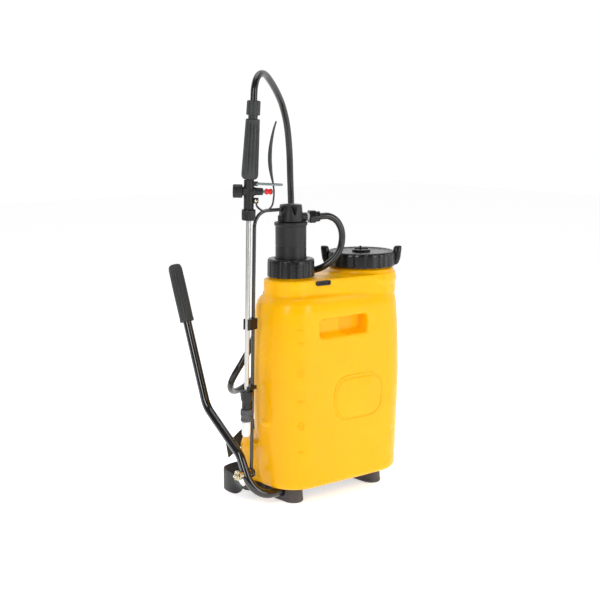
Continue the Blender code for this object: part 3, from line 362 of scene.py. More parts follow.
def wire(name, path, radius, material, matrix=None, sides=24, dome=0.5, hollow=0.0):
    """A round bar along a path, its ends domed, or open with a bore where hollow says how deep."""
    path = [Vector(p) for p in path]
    along = directions(path)
    side = along[0].orthogonal().normalized()
    sections = []
    for point, ahead in zip(path, along):
        side = (side - ahead * side.dot(ahead)).normalized()
        sections.append((point, ahead, side, radius))

    def cap(section, sign):
        point, ahead, across, r = section
        return [(point + ahead * sign * r * dome * math.sin(a), ahead, across, r * math.cos(a))
                for a in (math.pi / 2 * k / 5 for k in range(1, 5))]

    def bored(section, sign):
        point, ahead, across, r = section
        return [(point + ahead * sign * 0.0004, ahead, across, r * 0.93), (point, ahead, across, r * 0.80),
                (point - ahead * sign * hollow, ahead, across, r * 0.80)]

    ends = bored if hollow else cap
    sections = ends(sections[0], -1)[::-1] + sections + ends(sections[-1], 1)
    rings = []
    for point, ahead, across, r in sections:
        up = ahead.cross(across)
        rings.append([point + r * (across * math.cos(t) + up * math.sin(t)) for t in
                      (TAU * k / sides for k in range(sides))])
    return loft(name, rings, material, matrix)


def band(name, path, across, width, thick, material, matrix=None, sharp=50):
    """A strap of rounded edges along a path. Width, thickness and the width's direction may change along it."""
    path = [Vector(p) for p in path]
    count = len(path)
    many = lambda value: value if isinstance(value, list) else [value] * count
    across, width, thick = many(across), many(width), many(thick)
    bm = bmesh.new()
    layer = bm.loops.layers.uv.new("UVMap")
    rows, reach, gone = [], [], 0.0
    for i, (point, ahead) in enumerate(zip(path, directions(path))):
        side = Vector(across[i])
        side = (side - ahead * side.dot(ahead)).normalized()
        out = side.cross(ahead).normalized()
        w, t = width[i] / 2, thick[i] / 2
        ring = []
        for k in range(20):
            if k < 6:
                a = -math.pi / 2 + math.pi * k / 5
                x, y = w - t + t * math.cos(a), t * math.sin(a)
            elif k < 10:
                x, y = (w - t) * (1 - 2 * (k - 5) / 5), t
            elif k < 16:
                a = math.pi / 2 + math.pi * (k - 10) / 5
                x, y = -(w - t) + t * math.cos(a), t * math.sin(a)
            else:
                x, y = (w - t) * (-1 + 2 * (k - 15) / 5), -t
            ring.append((bm.verts.new(point + side * x + out * y), x))
        if i:
            gone += (path[i] - path[i - 1]).length
        rows.append(ring)
        reach.append(gone)
    for i in range(count - 1):
        for k in range(20):
            j = (k + 1) % 20
            face = bm.faces.new((rows[i][k][0], rows[i][j][0], rows[i + 1][j][0], rows[i + 1][k][0]))
            for loop, (x, y) in zip(face.loops, ((rows[i][k][1], reach[i]), (rows[i][j][1], reach[i]),
                                                 (rows[i + 1][j][1], reach[i + 1]), (rows[i + 1][k][1], reach[i + 1]))):
                loop[layer].uv = (x, y)
    bm.faces.new([v for v, _ in rows[0]])
    bm.faces.new([v for v, _ in rows[-1]])
    return made(bm, name, material, matrix, sharp)


def block(name, low, high, material, matrix=None, round_by=0.001, segments=3):
    low, high = Vector(low), Vector(high)
    bm = bmesh.new()
    bmesh.ops.create_cube(bm, size=1, matrix=Matrix.Translation((low + high) / 2) @ Matrix.Diagonal((*(high - low), 1)))
    if round_by:
        bmesh.ops.bevel(bm, geom=bm.edges[:], offset=round_by, segments=segments, affect="EDGES", profile=0.5)
    return made(bm, name, material, matrix)


def rod(name, start, end, radius, material, matrix=None, sides=48):
    """A straight round bar, mostly for Booleans."""
    start, end = Vector(start), Vector(end)
    bm = bmesh.new()
    turn = (end - start).to_track_quat("Z", "Y").to_matrix().to_4x4()
    bmesh.ops.create_cone(bm, cap_ends=True, segments=sides, radius1=radius, radius2=radius,
                          depth=(end - start).length, matrix=Matrix.Translation((start + end) / 2) @ turn)
    return made(bm, name, material, matrix)


def ball(name, centre, radii, material, matrix=None):
    """An ellipsoid."""
    bm = bmesh.new()
    bmesh.ops.create_uvsphere(bm, u_segments=40, v_segments=24, radius=1, matrix=Matrix.Translation(Vector(centre)) @
                              Matrix.Diagonal((*radii, 1)))
    return made(bm, name, material, matrix)


def curve(points, step=0.004, before=None, after=None):
    """Nearly even points along a Catmull-Rom curve through the given ones."""
    points = [Vector(p) for p in points]
    ends = [before or 2 * points[0] - points[1], *points, after or 2 * points[-1] - points[-2]]
    out = []
    for a, b, c, d in zip(ends, ends[1:], ends[2:], ends[3:]):
        parts = max(2, round((c - b).length / step))
        for i in range(parts):
            t = i / parts
            out.append(0.5 * (2 * b + (c - a) * t + (2 * a - 5 * b + 4 * c - d) * t**2 +
                              (3 * b - a - 3 * c + d) * t**3))
    return out + [points[-1]]


def level(shares, where):
    """A value read off a few (place, value) pairs, straight between them."""
    for (a, va), (b, vb) in zip(shares, shares[1:]):
        if where <= b or b == shares[-1][0]:
            t = min(max((where - a) / (b - a), 0), 1)
            return va + (vb - va) * t
    return shares[-1][1]


def filleted(points, radii, steps=12):
    """Straight runs joined by arcs."""
    points = [Vector(p) for p in points]
    radii = radii if isinstance(radii, list) else [radii] * (len(points) - 2)
    path = [points[0]]
    for before, corner, after, radius in zip(points, points[1:], points[2:], radii):
        a, b = (before - corner).normalized(), (after - corner).normalized()
        half = a.angle(b) / 2
        centre = corner + (a + b).normalized() * radius / math.sin(half)
        start = corner + a * radius / math.tan(half) - centre
        axis = start.cross(corner - centre).normalized()
        path += [centre + Matrix.Rotation((math.pi - 2 * half) * i / steps, 3, axis) @ start for i in range(steps + 1)]
    return path + [points[-1]]


def dense(path, step):
    """Adds points to the long straight runs of a path."""
    out = [path[0]]
    for a, b in zip(path, path[1:]):
        parts = max(1, math.ceil((b - a).length / step))
        out += [a + (b - a) * k / parts for k in range(1, parts + 1)]
    return out


def corners(left, right, front, back, radius, steps=14):
    points = []
    for cx, cy, turn in ((right - radius, back - radius, 0), (left + radius, back - radius, 90),
                         (left + radius, front + radius, 180), (right - radius, front + radius, 270)):
        for i in range(steps + 1):
            angle = math.radians(turn + 90 * i / steps)
            points.append((cx + radius * math.cos(angle), cy + radius * math.sin(angle)))
    return points


def axes(origin, x, y, z):
    """A frame from its origin and three axes."""
    matrix = Matrix((x, y, z)).transposed().to_4x4()
    matrix.translation = origin
    return matrix


def facing(origin, direction):
    """A frame at origin with Z along direction."""
    return Matrix.Translation(origin) @ Vector(direction).to_track_quat("Z", "Y").to_matrix().to_4x4()


def ribs(count, depth, low=-9.0, high=9.0, power=1.0, outer=0.0):
    """Ribs round a turned piece between two heights, where its radius is over outer."""
    def ripple(r, z, turn):
        if not low < z < high or r < outer:
            return r
        wave = abs(math.cos(turn * count / 2)) ** power
        return r - depth * wave
    return ripple


def add(piece, body, slot, *nodes):
    """Puts a finished piece on its body and hides the CAD nodes that it stands for; the slot argument is not used."""
    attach(piece, body)
    if nodes:
        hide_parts(*nodes)
    return piece


# ---------------------------------------------------------------- frames of the moving groups
AT_PUMP = Matrix.Translation((PUMP_X, 0, 0))
AT_LID = Matrix.Translation((LID_X, 0, 0))
rod_foot, rod_top = Vector((ROD_X, PIN.y, PIN.z)), Vector((ROD_X, 0, ROD_Z))
ALONG = (rod_top - rod_foot).normalized()
rod_origin = rod_foot - ALONG * (rod_foot.z / ALONG.z)
away = Vector((math.cos(LANCE_YAW), math.sin(LANCE_YAW), 0))
clip_side = ALONG.cross(away).normalized()
AT_CLIPS = axes(rod_origin, clip_side.cross(ALONG), clip_side, ALONG)
lance_origin = rod_origin + LANCE_GAP * away
to_trigger = Vector((math.cos(TRIGGER_YAW), math.sin(TRIGGER_YAW), 0))
lance_across = ALONG.cross(to_trigger).normalized()
AT_LANCE = axes(lance_origin, lance_across.cross(ALONG), lance_across, ALONG)
AT_HANDLE = AT_LANCE @ Matrix.Translation((0, 0, VALVE_Z)) @ Matrix.Rotation(math.radians(2.5), 4, "Y")


# ---------------------------------------------------------------- the tank
DRAWS = ((0.000, 0.0129), (0.006, 0.0080), (0.019, 0.0044), (0.036, 0.0029), (0.205, 0.0015), (0.38, -0.0012),
         (0.553, -0.0030), (0.67, -0.0020), (0.785, 0.0000), (0.86, 0.0018), (0.916, 0.0035), (0.959, 0.0062),
         (0.988, 0.0125), (1.000, 0.0235))


def deck_outline():
    a, b = 0.0480, 0.0635
    lean = math.asin((b - a) / (LID_X - PUMP_X))
    points = []
    for x, r, start, end in ((LID_X, b, -math.pi / 2 - lean, math.pi / 2 + lean),
                             (PUMP_X, a, math.pi / 2 + lean, 3 * math.pi / 2 - lean)):
        points += [(x + r * math.cos(t), r * math.sin(t)) for t in (start + (end - start) * i / 40 for i in range(41))]
    return points


def tank():
    rings = []
    for i in range(61):
        share = (1 - math.cos(math.pi * i / 60)) / 2
        draw = level(DRAWS, share)
        depth = max(draw - 0.0040, 0)
        crown = 0.0012 * math.sin(math.pi * share)
        z = TANK_BOTTOM + (TANK_TOP - TANK_BOTTOM) * share
        rings.append([(x, y, z) for x, y in corners(-HALF_WIDTH + draw, HALF_WIDTH - draw,
                                                    FRONT + depth + 0.0012 - crown, BACK - depth, CORNER - depth / 2)])
    body = loft("tank_shell", rings, YELLOW)
    half = HALF_WIDTH - 0.0020
    low = TANK_BOTTOM
    rows = ((low, 0.010), (low + 0.006, 0.002), (low + 0.014, 0), (0.092, 0), (0.103, 0.003), (0.110, 0.010))
    lumbar = [[(x, y, z) for x, y in corners(-half + d, half - d, 0, 0.104 - d, 0.050 - d / 2)] for z, d in rows]
    deck = [[(x, y, z) for x, y in deck_outline()] for z in (TANK_TOP - 0.012, DECK_TOP)]
    boss = [(0, 0.366), (0.0590, 0.366), (0.0610, 0.3735), (0.0632, 0.3785), (0.0650, 0.3840), (0.0651, 0.3895),
            (0.0634, 0.3945), (0.0606, 0.3975), (0.0602, 0.4010), (0.0588, 0.4060), (0.0530, 0.4078), (0.0520, 0.4280),
            (0, 0.4280)]
    cuts = [rod("bore_a", (0, 0, 0.345), (0, 0, 0.50), 0.0480, YELLOW, AT_LID, 96),
            rod("bore_b", (0, 0, 0.345), (0, 0, 0.50), 0.0330, YELLOW, AT_PUMP, 96)]
    combine(body, "UNION", loft("lumbar", lumbar, YELLOW), loft("deck", deck, YELLOW),
            turned("boss", boss, YELLOW, AT_LID, 128, rounding=0.002),
            turned("pump_boss", [(0, 0.357), (0.0460, 0.357), (0.0458, 0.4000), (0.0365, 0.4008), (0.0365, 0.4275),
                                 (0, 0.4275)], YELLOW, AT_PUMP, 96, rounding=0.002))
    def dish(name, left, right, low, high, floor, drop):
        """A rounded pocket through the front: wide at the skin, drawn in towards its floor, most of all from below."""
        rows = [(-0.0900, 0.0, 0.0), (-0.0660, 0.0, 0.0), (-0.0645, 0.0016, 0.0016), (floor + 0.002, 0.0042, drop),
                (floor, 0.0062, drop + 0.002)]
        return loft(name, [[(x, y, z) for x, z in corners(left + d, right - d, low + up, high - d * 0.8, 0.0075, 8)]
                           for y, d, up in rows], YELLOW)

    pocket = dish("pocket", -0.0745, -0.0020, 0.2965, 0.3335, -0.0530, 0.0110)
    deep = dish("deep", -0.0200, 0.0425, 0.2965, 0.3335, -0.0440, 0.0070)
    bumps = [ball(f"bump_{name}", (x, y, z), (0.0085, 0.0125, 0.0062), YELLOW)
             for name, x, y, z in (("left_high", -0.1440, -0.004, 0.149), ("left_low", -0.1435, 0.027, 0.107),
                                   ("right_high", 0.1440, -0.004, 0.149), ("right_low", 0.1435, 0.027, 0.107))]
    combine(body, "UNION", *bumps)
    combine(body, "DIFFERENCE", pocket, deep, *cuts)
    moulded(body, 0.0016, 9)
    add(body, "root", "tank_plastic", "tank")
    marks()


def front_spot(x, z):
    """Where the tank's front skin is at a given width, and its outward direction there."""
    draw = level(DRAWS, (z - TANK_BOTTOM) / (TANK_TOP - TANK_BOTTOM))
    share = (z - TANK_BOTTOM) / (TANK_TOP - TANK_BOTTOM)
    front = FRONT + 0.0012 - 0.0012 * math.sin(math.pi * share)
    centre = -(HALF_WIDTH - draw) + CORNER
    if x >= centre:
        return Vector((x, front, z)), Vector((0, -1, 0))
    lean = math.asin((centre - x) / CORNER)
    out = Vector((-math.sin(lean), -math.cos(lean), 0))
    return Vector((centre, front + CORNER, z)) + out * CORNER, out


def marks():
    """The moulded level dashes and the plain raised panel on the front."""
    pieces = []
    for i, (z, ringed) in enumerate(((0.3170, False), (0.2950, False), (0.2420, True), (0.1930, False),
                                     (0.1480, True), (0.1020, False))):
        spot, out = front_spot(-0.1130, z)
        across = out.cross(Vector((0, 0, 1))).normalized()
        if ringed:
            ring = [spot + across * 0.0058 * math.cos(t) + Vector((0, 0, 0.0062 * math.sin(t)))
                    for t in (TAU * k / 28 for k in range(29))]
            pieces.append(wire(f"level_ring_{i}", ring, 0.0009, YELLOW, sides=10))
        path = [spot + across * (0.0060 if ringed else 0.0120) * (k / 8 - 0.5) for k in range(9)]
        pieces.append(wire(f"level_{i}", path, 0.0010, YELLOW, sides=10))
        if i % 2:
            path = [p - Vector((0, 0, 0.0032)) for p in path[2:7]]
            pieces.append(wire(f"level_half_{i}", path, 0.0008, YELLOW, sides=10))
    dashes = merge(*pieces)
    dashes.name = "level_marks"
    add(dashes, "root", "tank_plastic")
    left, right, low, high = -0.0390, 0.0755, 0.1440, 0.2240
    outline = corners(left, right, low, high, 0.0300, 12)
    path = [Vector((x, front_spot(x, z)[0].y, z)) for x, z in outline]
    path.append(path[0])
    bm = bmesh.new()
    rows = []
    for inset, rise in ((0.0050, -0.0010), (0.0053, 0.0004), (0.0062, 0.0010), (0.0080, 0.0012)):
        rows.append([bm.verts.new((x, front_spot(x, z)[0].y - rise, z)) for x, z in
                     corners(left + inset, right - inset, low + inset, high - inset, 0.0300 - inset, 12)])
    for a, b in zip(rows, rows[1:]):
        for k in range(len(a)):
            j = (k + 1) % len(a)
            bm.faces.new((a[k], a[j], b[j], b[k]))
    bm.faces.new(rows[-1])
    bm.faces.new(rows[0])
    pad = made(bm, "panel_field", YELLOW)
    rim = wire("panel_rim", dense(path, 0.004), 0.0013, YELLOW, sides=12)
    add(merge(pad, rim), "root", "tank_plastic").name = "blank_panel"


def plug():
    """The oblong strap plug in the deck's front."""
    lean = math.atan2(-0.0155, 0.168)
    spot = Matrix.Translation((-0.0535, -0.0522, 0.3938)) @ Matrix.Rotation(lean, 4, "Z")
    flange = loft("plug_flange", [[(x * s, y, z * s) for x, z in corners(-0.0160, 0.0160, -0.0043, 0.0043, 0.0042, 8)]
                                  for y, s in ((0.0030, 1), (-0.0010, 1), (-0.0018, 0.94))], BLACK, spot, 45)
    inner = loft("plug_recess", [[(x, y, z) for x, z in corners(-0.0130, 0.0130, -0.0022, 0.0022, 0.0021, 8)]
                                 for y in (-0.0060, 0.0005)], BLACK, spot)
    combine(flange, "DIFFERENCE", inner)
    flange.data.set_sharp_from_angle(angle=math.radians(40))
    ridge = [block(f"plug_key_{i}", (x - 0.0006, -0.0008, -0.0021), (x + 0.0006, 0.0006, 0.0021), SATIN, spot, 0.0002)
             for i, x in enumerate((-0.006, 0.0, 0.006))]
    merge(flange, *ridge)
    add(flange, "root", "black_plastic", "strap_anchor_plug")


# ---------------------------------------------------------------- base, screws
def base():
    top = 0.0290
    plate = [[(x, y, z) for x, y in corners(-RAIL_X - 0.017, RAIL_X + 0.017, RAIL_FRONT + 0.004, RAIL_BACK, 0.016)]
             for z in (0.0225, top)]
    body = loft("base_moulding", plate, RAIL)
    tools, parts = [], []
    for sign in (-1, 1):
        x = sign * RAIL_X
        shape = corners(x - RAIL_HALF, x + RAIL_HALF, RAIL_FRONT, RAIL_BACK, RAIL_HALF - 0.0003)
        rows = []
        for z, scale, draw in ((0.0, 0.92, 0.0022), (0.0016, 0.97, 0.0008), (0.0040, 0.985, 0.0003),
                               (0.0070, 0.93, 0.001), (top, 0.90, 0.0016)):
            rows.append([(x + (a - x) * scale, b + (draw if b < 0.03 else -draw), z) for a, b in shape])
        parts.append(loft(f"rail_{sign}", rows, RAIL))
        parts.append(block(f"lug_{sign}", (x + sign * 0.021 - 0.009, 0.0270, 0.0080),
                           (x + sign * 0.021 + 0.009, 0.0730, 0.0280), RAIL, round_by=0.0015))
        parts.append(rod(f"axle_boss_{sign}", (x - 0.0182, AXLE_Y, AXLE_Z), (x + 0.0182, AXLE_Y, AXLE_Z), 0.0112, RAIL))
        tools.append(block(f"slot_{sign}", (x + sign * 0.0255 - 0.006, 0.0300, 0.0130),
                           (x + sign * 0.0255 + 0.006, 0.0700, 0.0170), RAIL, round_by=0))
        tools.append(rod(f"recess_{sign}", (x, 0.050, -0.010), (x, 0.050, 0.0180), 0.0060, RAIL))
        tools.append(block(f"hollow_{sign}", (x - 0.0105, -0.0050 + 0.012, -0.01), (x + 0.0105, 0.0400, 0.0170), RAIL,
                           round_by=0.003))
        tools.append(block(f"hollow_b{sign}", (x - 0.0105, 0.0600, -0.01), (x + 0.0105, 0.0900, 0.0170), RAIL,
                           round_by=0.003))
    for i in range(3):
        y = 0.012 + 0.034 * i
        parts.append(block(f"web_{i}", (-0.080, y, 0.0150), (0.080, y + 0.0030, 0.0235), RAIL, round_by=0))
    combine(body, "UNION", *parts)
    tools.append(rod("axle_bore", (-0.2, AXLE_Y, AXLE_Z), (0.2, AXLE_Y, AXLE_Z), 0.0088, RAIL))
    combine(body, "DIFFERENCE", *tools)
    moulded(body, 0.0011, 5)
    add(body, "root", "black_plastic", "base_frame")
    for side, sign in (("left", -1), ("right", 1)):
        head = turned(f"screw_{side}", [(0, 0.0150), (0.0010, 0.0150), (0.0012, 0.0162), (0.0030, 0.0150),
                                        (0.0046, 0.0154), (0.0046, 0.0178), (0.0020, 0.0178), (0.0020, 0.0340),
                                        (0, 0.0355)], ZINC, Matrix.Translation((sign * RAIL_X, 0.050, 0)), 32,
                      rounding=0.0003)
        add(head, "root", "zinc_steel", f"base_screw_{side}")


# ---------------------------------------------------------------- pump
def pump():
    lid = NECK_TOP + 0.0043
    nut = [(0.0413, DECK_TOP + 0.0047), (0.0416, DECK_TOP + 0.0065), (0.0413, lid - 0.004), (0.0410, lid + 0.0005),
           (0.0392, lid + 0.0031), (0.0330, lid + 0.0033), (0.0292, lid + 0.0029), (0.0290, lid), (0.0370, lid),
           (0.0370, DECK_TOP + 0.0047)]

    def knurl(r, z, turn):
        if r < 0.0385 or not DECK_TOP + 0.0058 < z < lid + 0.0012:
            return r
        place = (turn * 20 / TAU) % 1
        groove = max(0, 1 - abs(place - 0.5) / 0.16)
        return r - 0.0016 * min(1, groove * 1.6)

    add(turned("ring_nut_ribbed", nut, BLACK, AT_PUMP, 400, knurl, 0.0007), "root", "black_plastic", "ring_nut")
    barrel = [(0.0080, 0.1785), (0.0110, 0.1785), (0.0110, 0.3920), (0.0252, 0.3940), (0.0272, 0.3965),
              (0.0272, 0.4560), (0.0269, 0.4565), (0.0269, 0.4580), (0.0272, 0.4585), (0.0273, BARREL_TOP - 0.0068),
              (0.0292, BARREL_TOP - 0.0050), (0.0294, BARREL_TOP - 0.0006), (0.0284, BARREL_TOP), (0.0245, BARREL_TOP),
              (0.0245, 0.3980), (0.0080, 0.3960)]
    add(turned("pump_chamber_barrel", barrel, SATIN, AT_PUMP, 96), "pump", "black_plastic", "pump_chamber")
    head()


def head():
    low = BARREL_TOP + 0.0003
    profile = [(0, low), (0.0215, low), (0.0213, low + 0.0060), (0.0197, HEAD_TOP - 0.002), (0.0190, HEAD_TOP),
               (0, HEAD_TOP)]

    def squared(r, z, turn):
        """A little squarer than round, as the block is."""
        return r * min(1.0, 0.965 / max(abs(math.cos(turn + 0.35)), abs(math.sin(turn + 0.35))) ** 0.9)

    body = turned("pump_head_block", profile, SATIN, AT_PUMP, 96, squared, 0.0012)
    out = Vector((math.cos(math.radians(-20)), math.sin(math.radians(-20)), 0))
    at = Vector((PUMP_X, 0, OUTLET_Z))
    shoulder = loft("shoulder", [[(PUMP_X - 0.0150, y, z) for y, z in corners(-0.0075, 0.0075, ROD_Z - 0.0075,
                                                                            ROD_Z + 0.0065, 0.0055, 6)],
                                 [(PUMP_X - 0.0205, y, z) for y, z in corners(-0.0062, 0.0062, ROD_Z - 0.0062,
                                                                            ROD_Z + 0.0055, 0.0050, 6)]], SATIN)
    combine(body, "UNION", rod("boss", at, at + out * 0.0290, 0.0078, SATIN),
            block("web", (PUMP_X - 0.0285, -0.0016, low - 0.0002), (PUMP_X - 0.015, 0.0016, ROD_Z - 0.010), SATIN,
                  round_by=0), shoulder)
    notch_x = PUMP_X - 0.0065
    notch = loft("notch", [[(x, y, z) for x, z in ((notch_x - 0.0012, ROD_Z - 0.010), (notch_x + 0.0012, ROD_Z - 0.010),
                                                   (notch_x + 0.0066, HEAD_TOP + 0.003), (notch_x - 0.0066,
                                                                                         HEAD_TOP + 0.003))]
                           for y in (0.0072, -0.030)], SATIN)
    combine(body, "DIFFERENCE", notch, rod("rod_bore", (PUMP_X - 0.040, 0, ROD_Z), (PUMP_X + 0.0130, 0, ROD_Z), 0.0037,
                                           SATIN))
    moulded(body, 0.00055, 4)
    add(body, "pump", "black_plastic", "pump_head")
    outlet = facing(at, out)
    stub = [(0.0025, 0.0293), (0.0071, 0.0293), (0.0072, 0.0310), (0.0068, 0.0316), (0.0070, 0.0330), (0.0050, 0.0330),
            (0.0050, 0.0500), (0.0025, 0.0500)]
    add(turned("outlet_union", stub, STUB, outlet, 48, rounding=0.0003), "pump", "pale_plastic", "outlet_stub")

    def hexagon(r, z, turn):
        if r < 0.0095:
            return r
        flat = r * math.cos(math.pi / 6) / math.cos((turn % (math.pi / 3)) - math.pi / 6)
        return min(flat * 1.04, r)

    nut = [(0.0053, 0.0333), (0.0112, 0.0333), (0.0120, 0.0342), (0.0120, 0.0440), (0.0112, 0.0452), (0.0098, 0.0458),
           (0.0096, 0.0512), (0.0088, 0.0532), (0.0072, 0.0540), (0.0053, 0.0540)]
    add(turned("outlet_hex", nut, BLACK, outlet, 96, hexagon, 0.0005), "pump", "black_plastic", "outlet_nut")
    half, length = 0.0048, 0.0062
    pin = [Vector((notch_x, half * math.cos(t), ROD_Z + 0.0007 + half * math.sin(t))) for t in
           (math.pi * k / 16 for k in range(17))]
    legs = [Vector((notch_x, half * 0.96, ROD_Z - length)), Vector((notch_x, half, ROD_Z - 0.002)), *pin,
            Vector((notch_x, -half, ROD_Z - 0.002)), Vector((notch_x, -half * 0.96, ROD_Z - length))]
    add(wire("split_pin", curve(legs, 0.0008), 0.0008, ZINC, sides=12), "pump", "zinc_steel", "rod_split_pin")


# ---------------------------------------------------------------- lid and strainer
def lid():
    top, low = NECK_TOP + 0.0084, DECK_TOP + 0.0106
    cover = [(0, top - 0.0018), (0.0160, top - 0.0018), (0.0175, top - 0.0022), (0.0500, top - 0.0022),
             (0.0525, top - 0.0012), (0.0560, top - 0.0002), (0.0600, top - 0.0006), (0.0617, top - 0.0030),
             (0.0622, top - 0.0060), (0.0625, low + 0.0030), (0.0625, low), (0.0600, low), (0.0600, low + 0.004),
             (0.0548, low + 0.006), (0.0545, top - 0.0040), (0, top - 0.0040)]

    def lobes(r, z, turn):
        if r < 0.0590 or not low + 0.0012 < z < top - 0.0012:
            return r
        place = (turn * 16 / TAU) % 1
        groove = max(0, 1 - abs(place - 0.5) / 0.10)
        return r - 0.0009 * math.cos(TAU * (place - 0.5)) * 0.5 - 0.0013 * min(1, groove * 1.5)

    body = turned("lid_cover", cover, BLACK, AT_LID, 512, lobes, 0.0007)
    extras = []
    for i, turn in enumerate((-40, 140)):
        spot = AT_LID @ Matrix.Rotation(math.radians(turn), 4, "Z")
        rows = []
        for z, inner, outer, half in ((low + 0.0005, 0.0600, 0.0655, 0.0070), (low + 0.004, 0.0595, 0.0690, 0.0078),
                                      (low + 0.012, 0.0590, 0.0722, 0.0082), (top - 0.002, 0.0585, 0.0738, 0.0080),
                                      (top + 0.004, 0.0592, 0.0744, 0.0072), (top + 0.0070, 0.0612, 0.0740, 0.0056),
                                      (top + 0.0080, 0.0640, 0.0724, 0.0034)):
            rows.append([(x, y, z) for x, y in corners(inner, outer, -half, half, min(half, (outer - inner) / 2) * 0.92,
                                                       8)])
        extras.append(loft(f"ear_{i}", rows, BLACK, spot, 55))
    for k in range(24):
        turn = TAU * k / 24 + 0.13
        extras.append(block(f"tick_{k}", (0.0535, -0.0005, top - 0.0012), (0.0572, 0.0005, top - 0.0001), BLACK,
                            AT_LID @ Matrix.Rotation(turn, 4, "Z"), 0.0002, 2))
    merge(body, *extras)
    add(body, "lid", "black_plastic", "lid")
    vent = [(0, top + 0.0024), (0.0125, top + 0.0022), (0.0160, top + 0.0018), (0.0170, top + 0.0008),
            (0.0172, top + 0.0002), (0.0168, top - 0.0020), (0, top - 0.0020)]
    cap = turned("vent_disc", vent, BLACK, AT_LID, 96)
    merge(cap, block("vent_bar", (-0.0125, -0.0014, top + 0.0018), (0.0125, 0.0014, top + 0.0038), BLACK,
                     AT_LID @ Matrix.Rotation(math.radians(-40), 4, "Z"), 0.0006))
    add(cap, "lid", "black_plastic", "vent_cap")
    peg = turned("vent_stem", [(0, 0), (0.0017, 0), (0.0015, 0.0045), (0.0020, 0.0052), (0.0021, 0.0062),
                               (0.0013, 0.0070), (0, 0.0070)], BLACK,
                 Matrix.Translation((LID_X - 0.0090, -0.0075, top + 0.0024)), 24, rounding=0.0003)
    add(peg, "lid", "grey_plastic", "vent_peg")
    strainer()


def strainer():
    """A basket with ribs and open slots in its wall and floor."""
    r, z0, z1 = 0.0468, NECK_TOP - 0.062, NECK_TOP - 0.0015
    rim = turned("strainer_frame", [(r - 0.0020, z1 - 0.0045), (r - 0.0002, z1 - 0.0045), (r, z1), (r - 0.0024, z1)],
                 NOZZLE_GREY, AT_LID, 96, rounding=0.0003)
    parts = []
    for i, z in enumerate((z0 + 0.0010, z0 + 0.0160, z0 + 0.0310, z0 + 0.0450)):
        ring = r - 0.0040 + 0.0036 * (z - z0) / (z1 - z0)
        parts.append(turned(f"hoop_{i}", [(ring - 0.0016, z - 0.0010), (ring, z - 0.0010), (ring, z + 0.0010),
                                          (ring - 0.0016, z + 0.0010)], NOZZLE_GREY, AT_LID, 72, rounding=0.0003))
    for k in range(28):
        a = TAU * k / 28
        low = Vector(((r - 0.0048) * math.cos(a), (r - 0.0048) * math.sin(a), z0 + 0.0005))
        high = Vector(((r - 0.0010) * math.cos(a), (r - 0.0010) * math.sin(a), z1 - 0.003))
        parts.append(wire(f"stave_{k}", [low, (low + high) / 2, high], 0.0007, NOZZLE_GREY, AT_LID, 8))
    for k in range(7):
        y = -0.036 + 0.012 * k
        reach = math.sqrt(0.0420**2 - y * y)
        parts.append(wire(f"bar_{k}", [Vector((-reach, y, z0)), Vector((0, y, z0)), Vector((reach, y, z0))], 0.0010,
                          NOZZLE_GREY, AT_LID, 8))
        parts.append(wire(f"cross_{k}", [Vector((y, -reach, z0)), Vector((y, 0, z0)), Vector((y, reach, z0))], 0.0010,
                          NOZZLE_GREY, AT_LID, 8))
    add(merge(rim, *parts), "strainer", "grey_plastic", "strainer_basket")


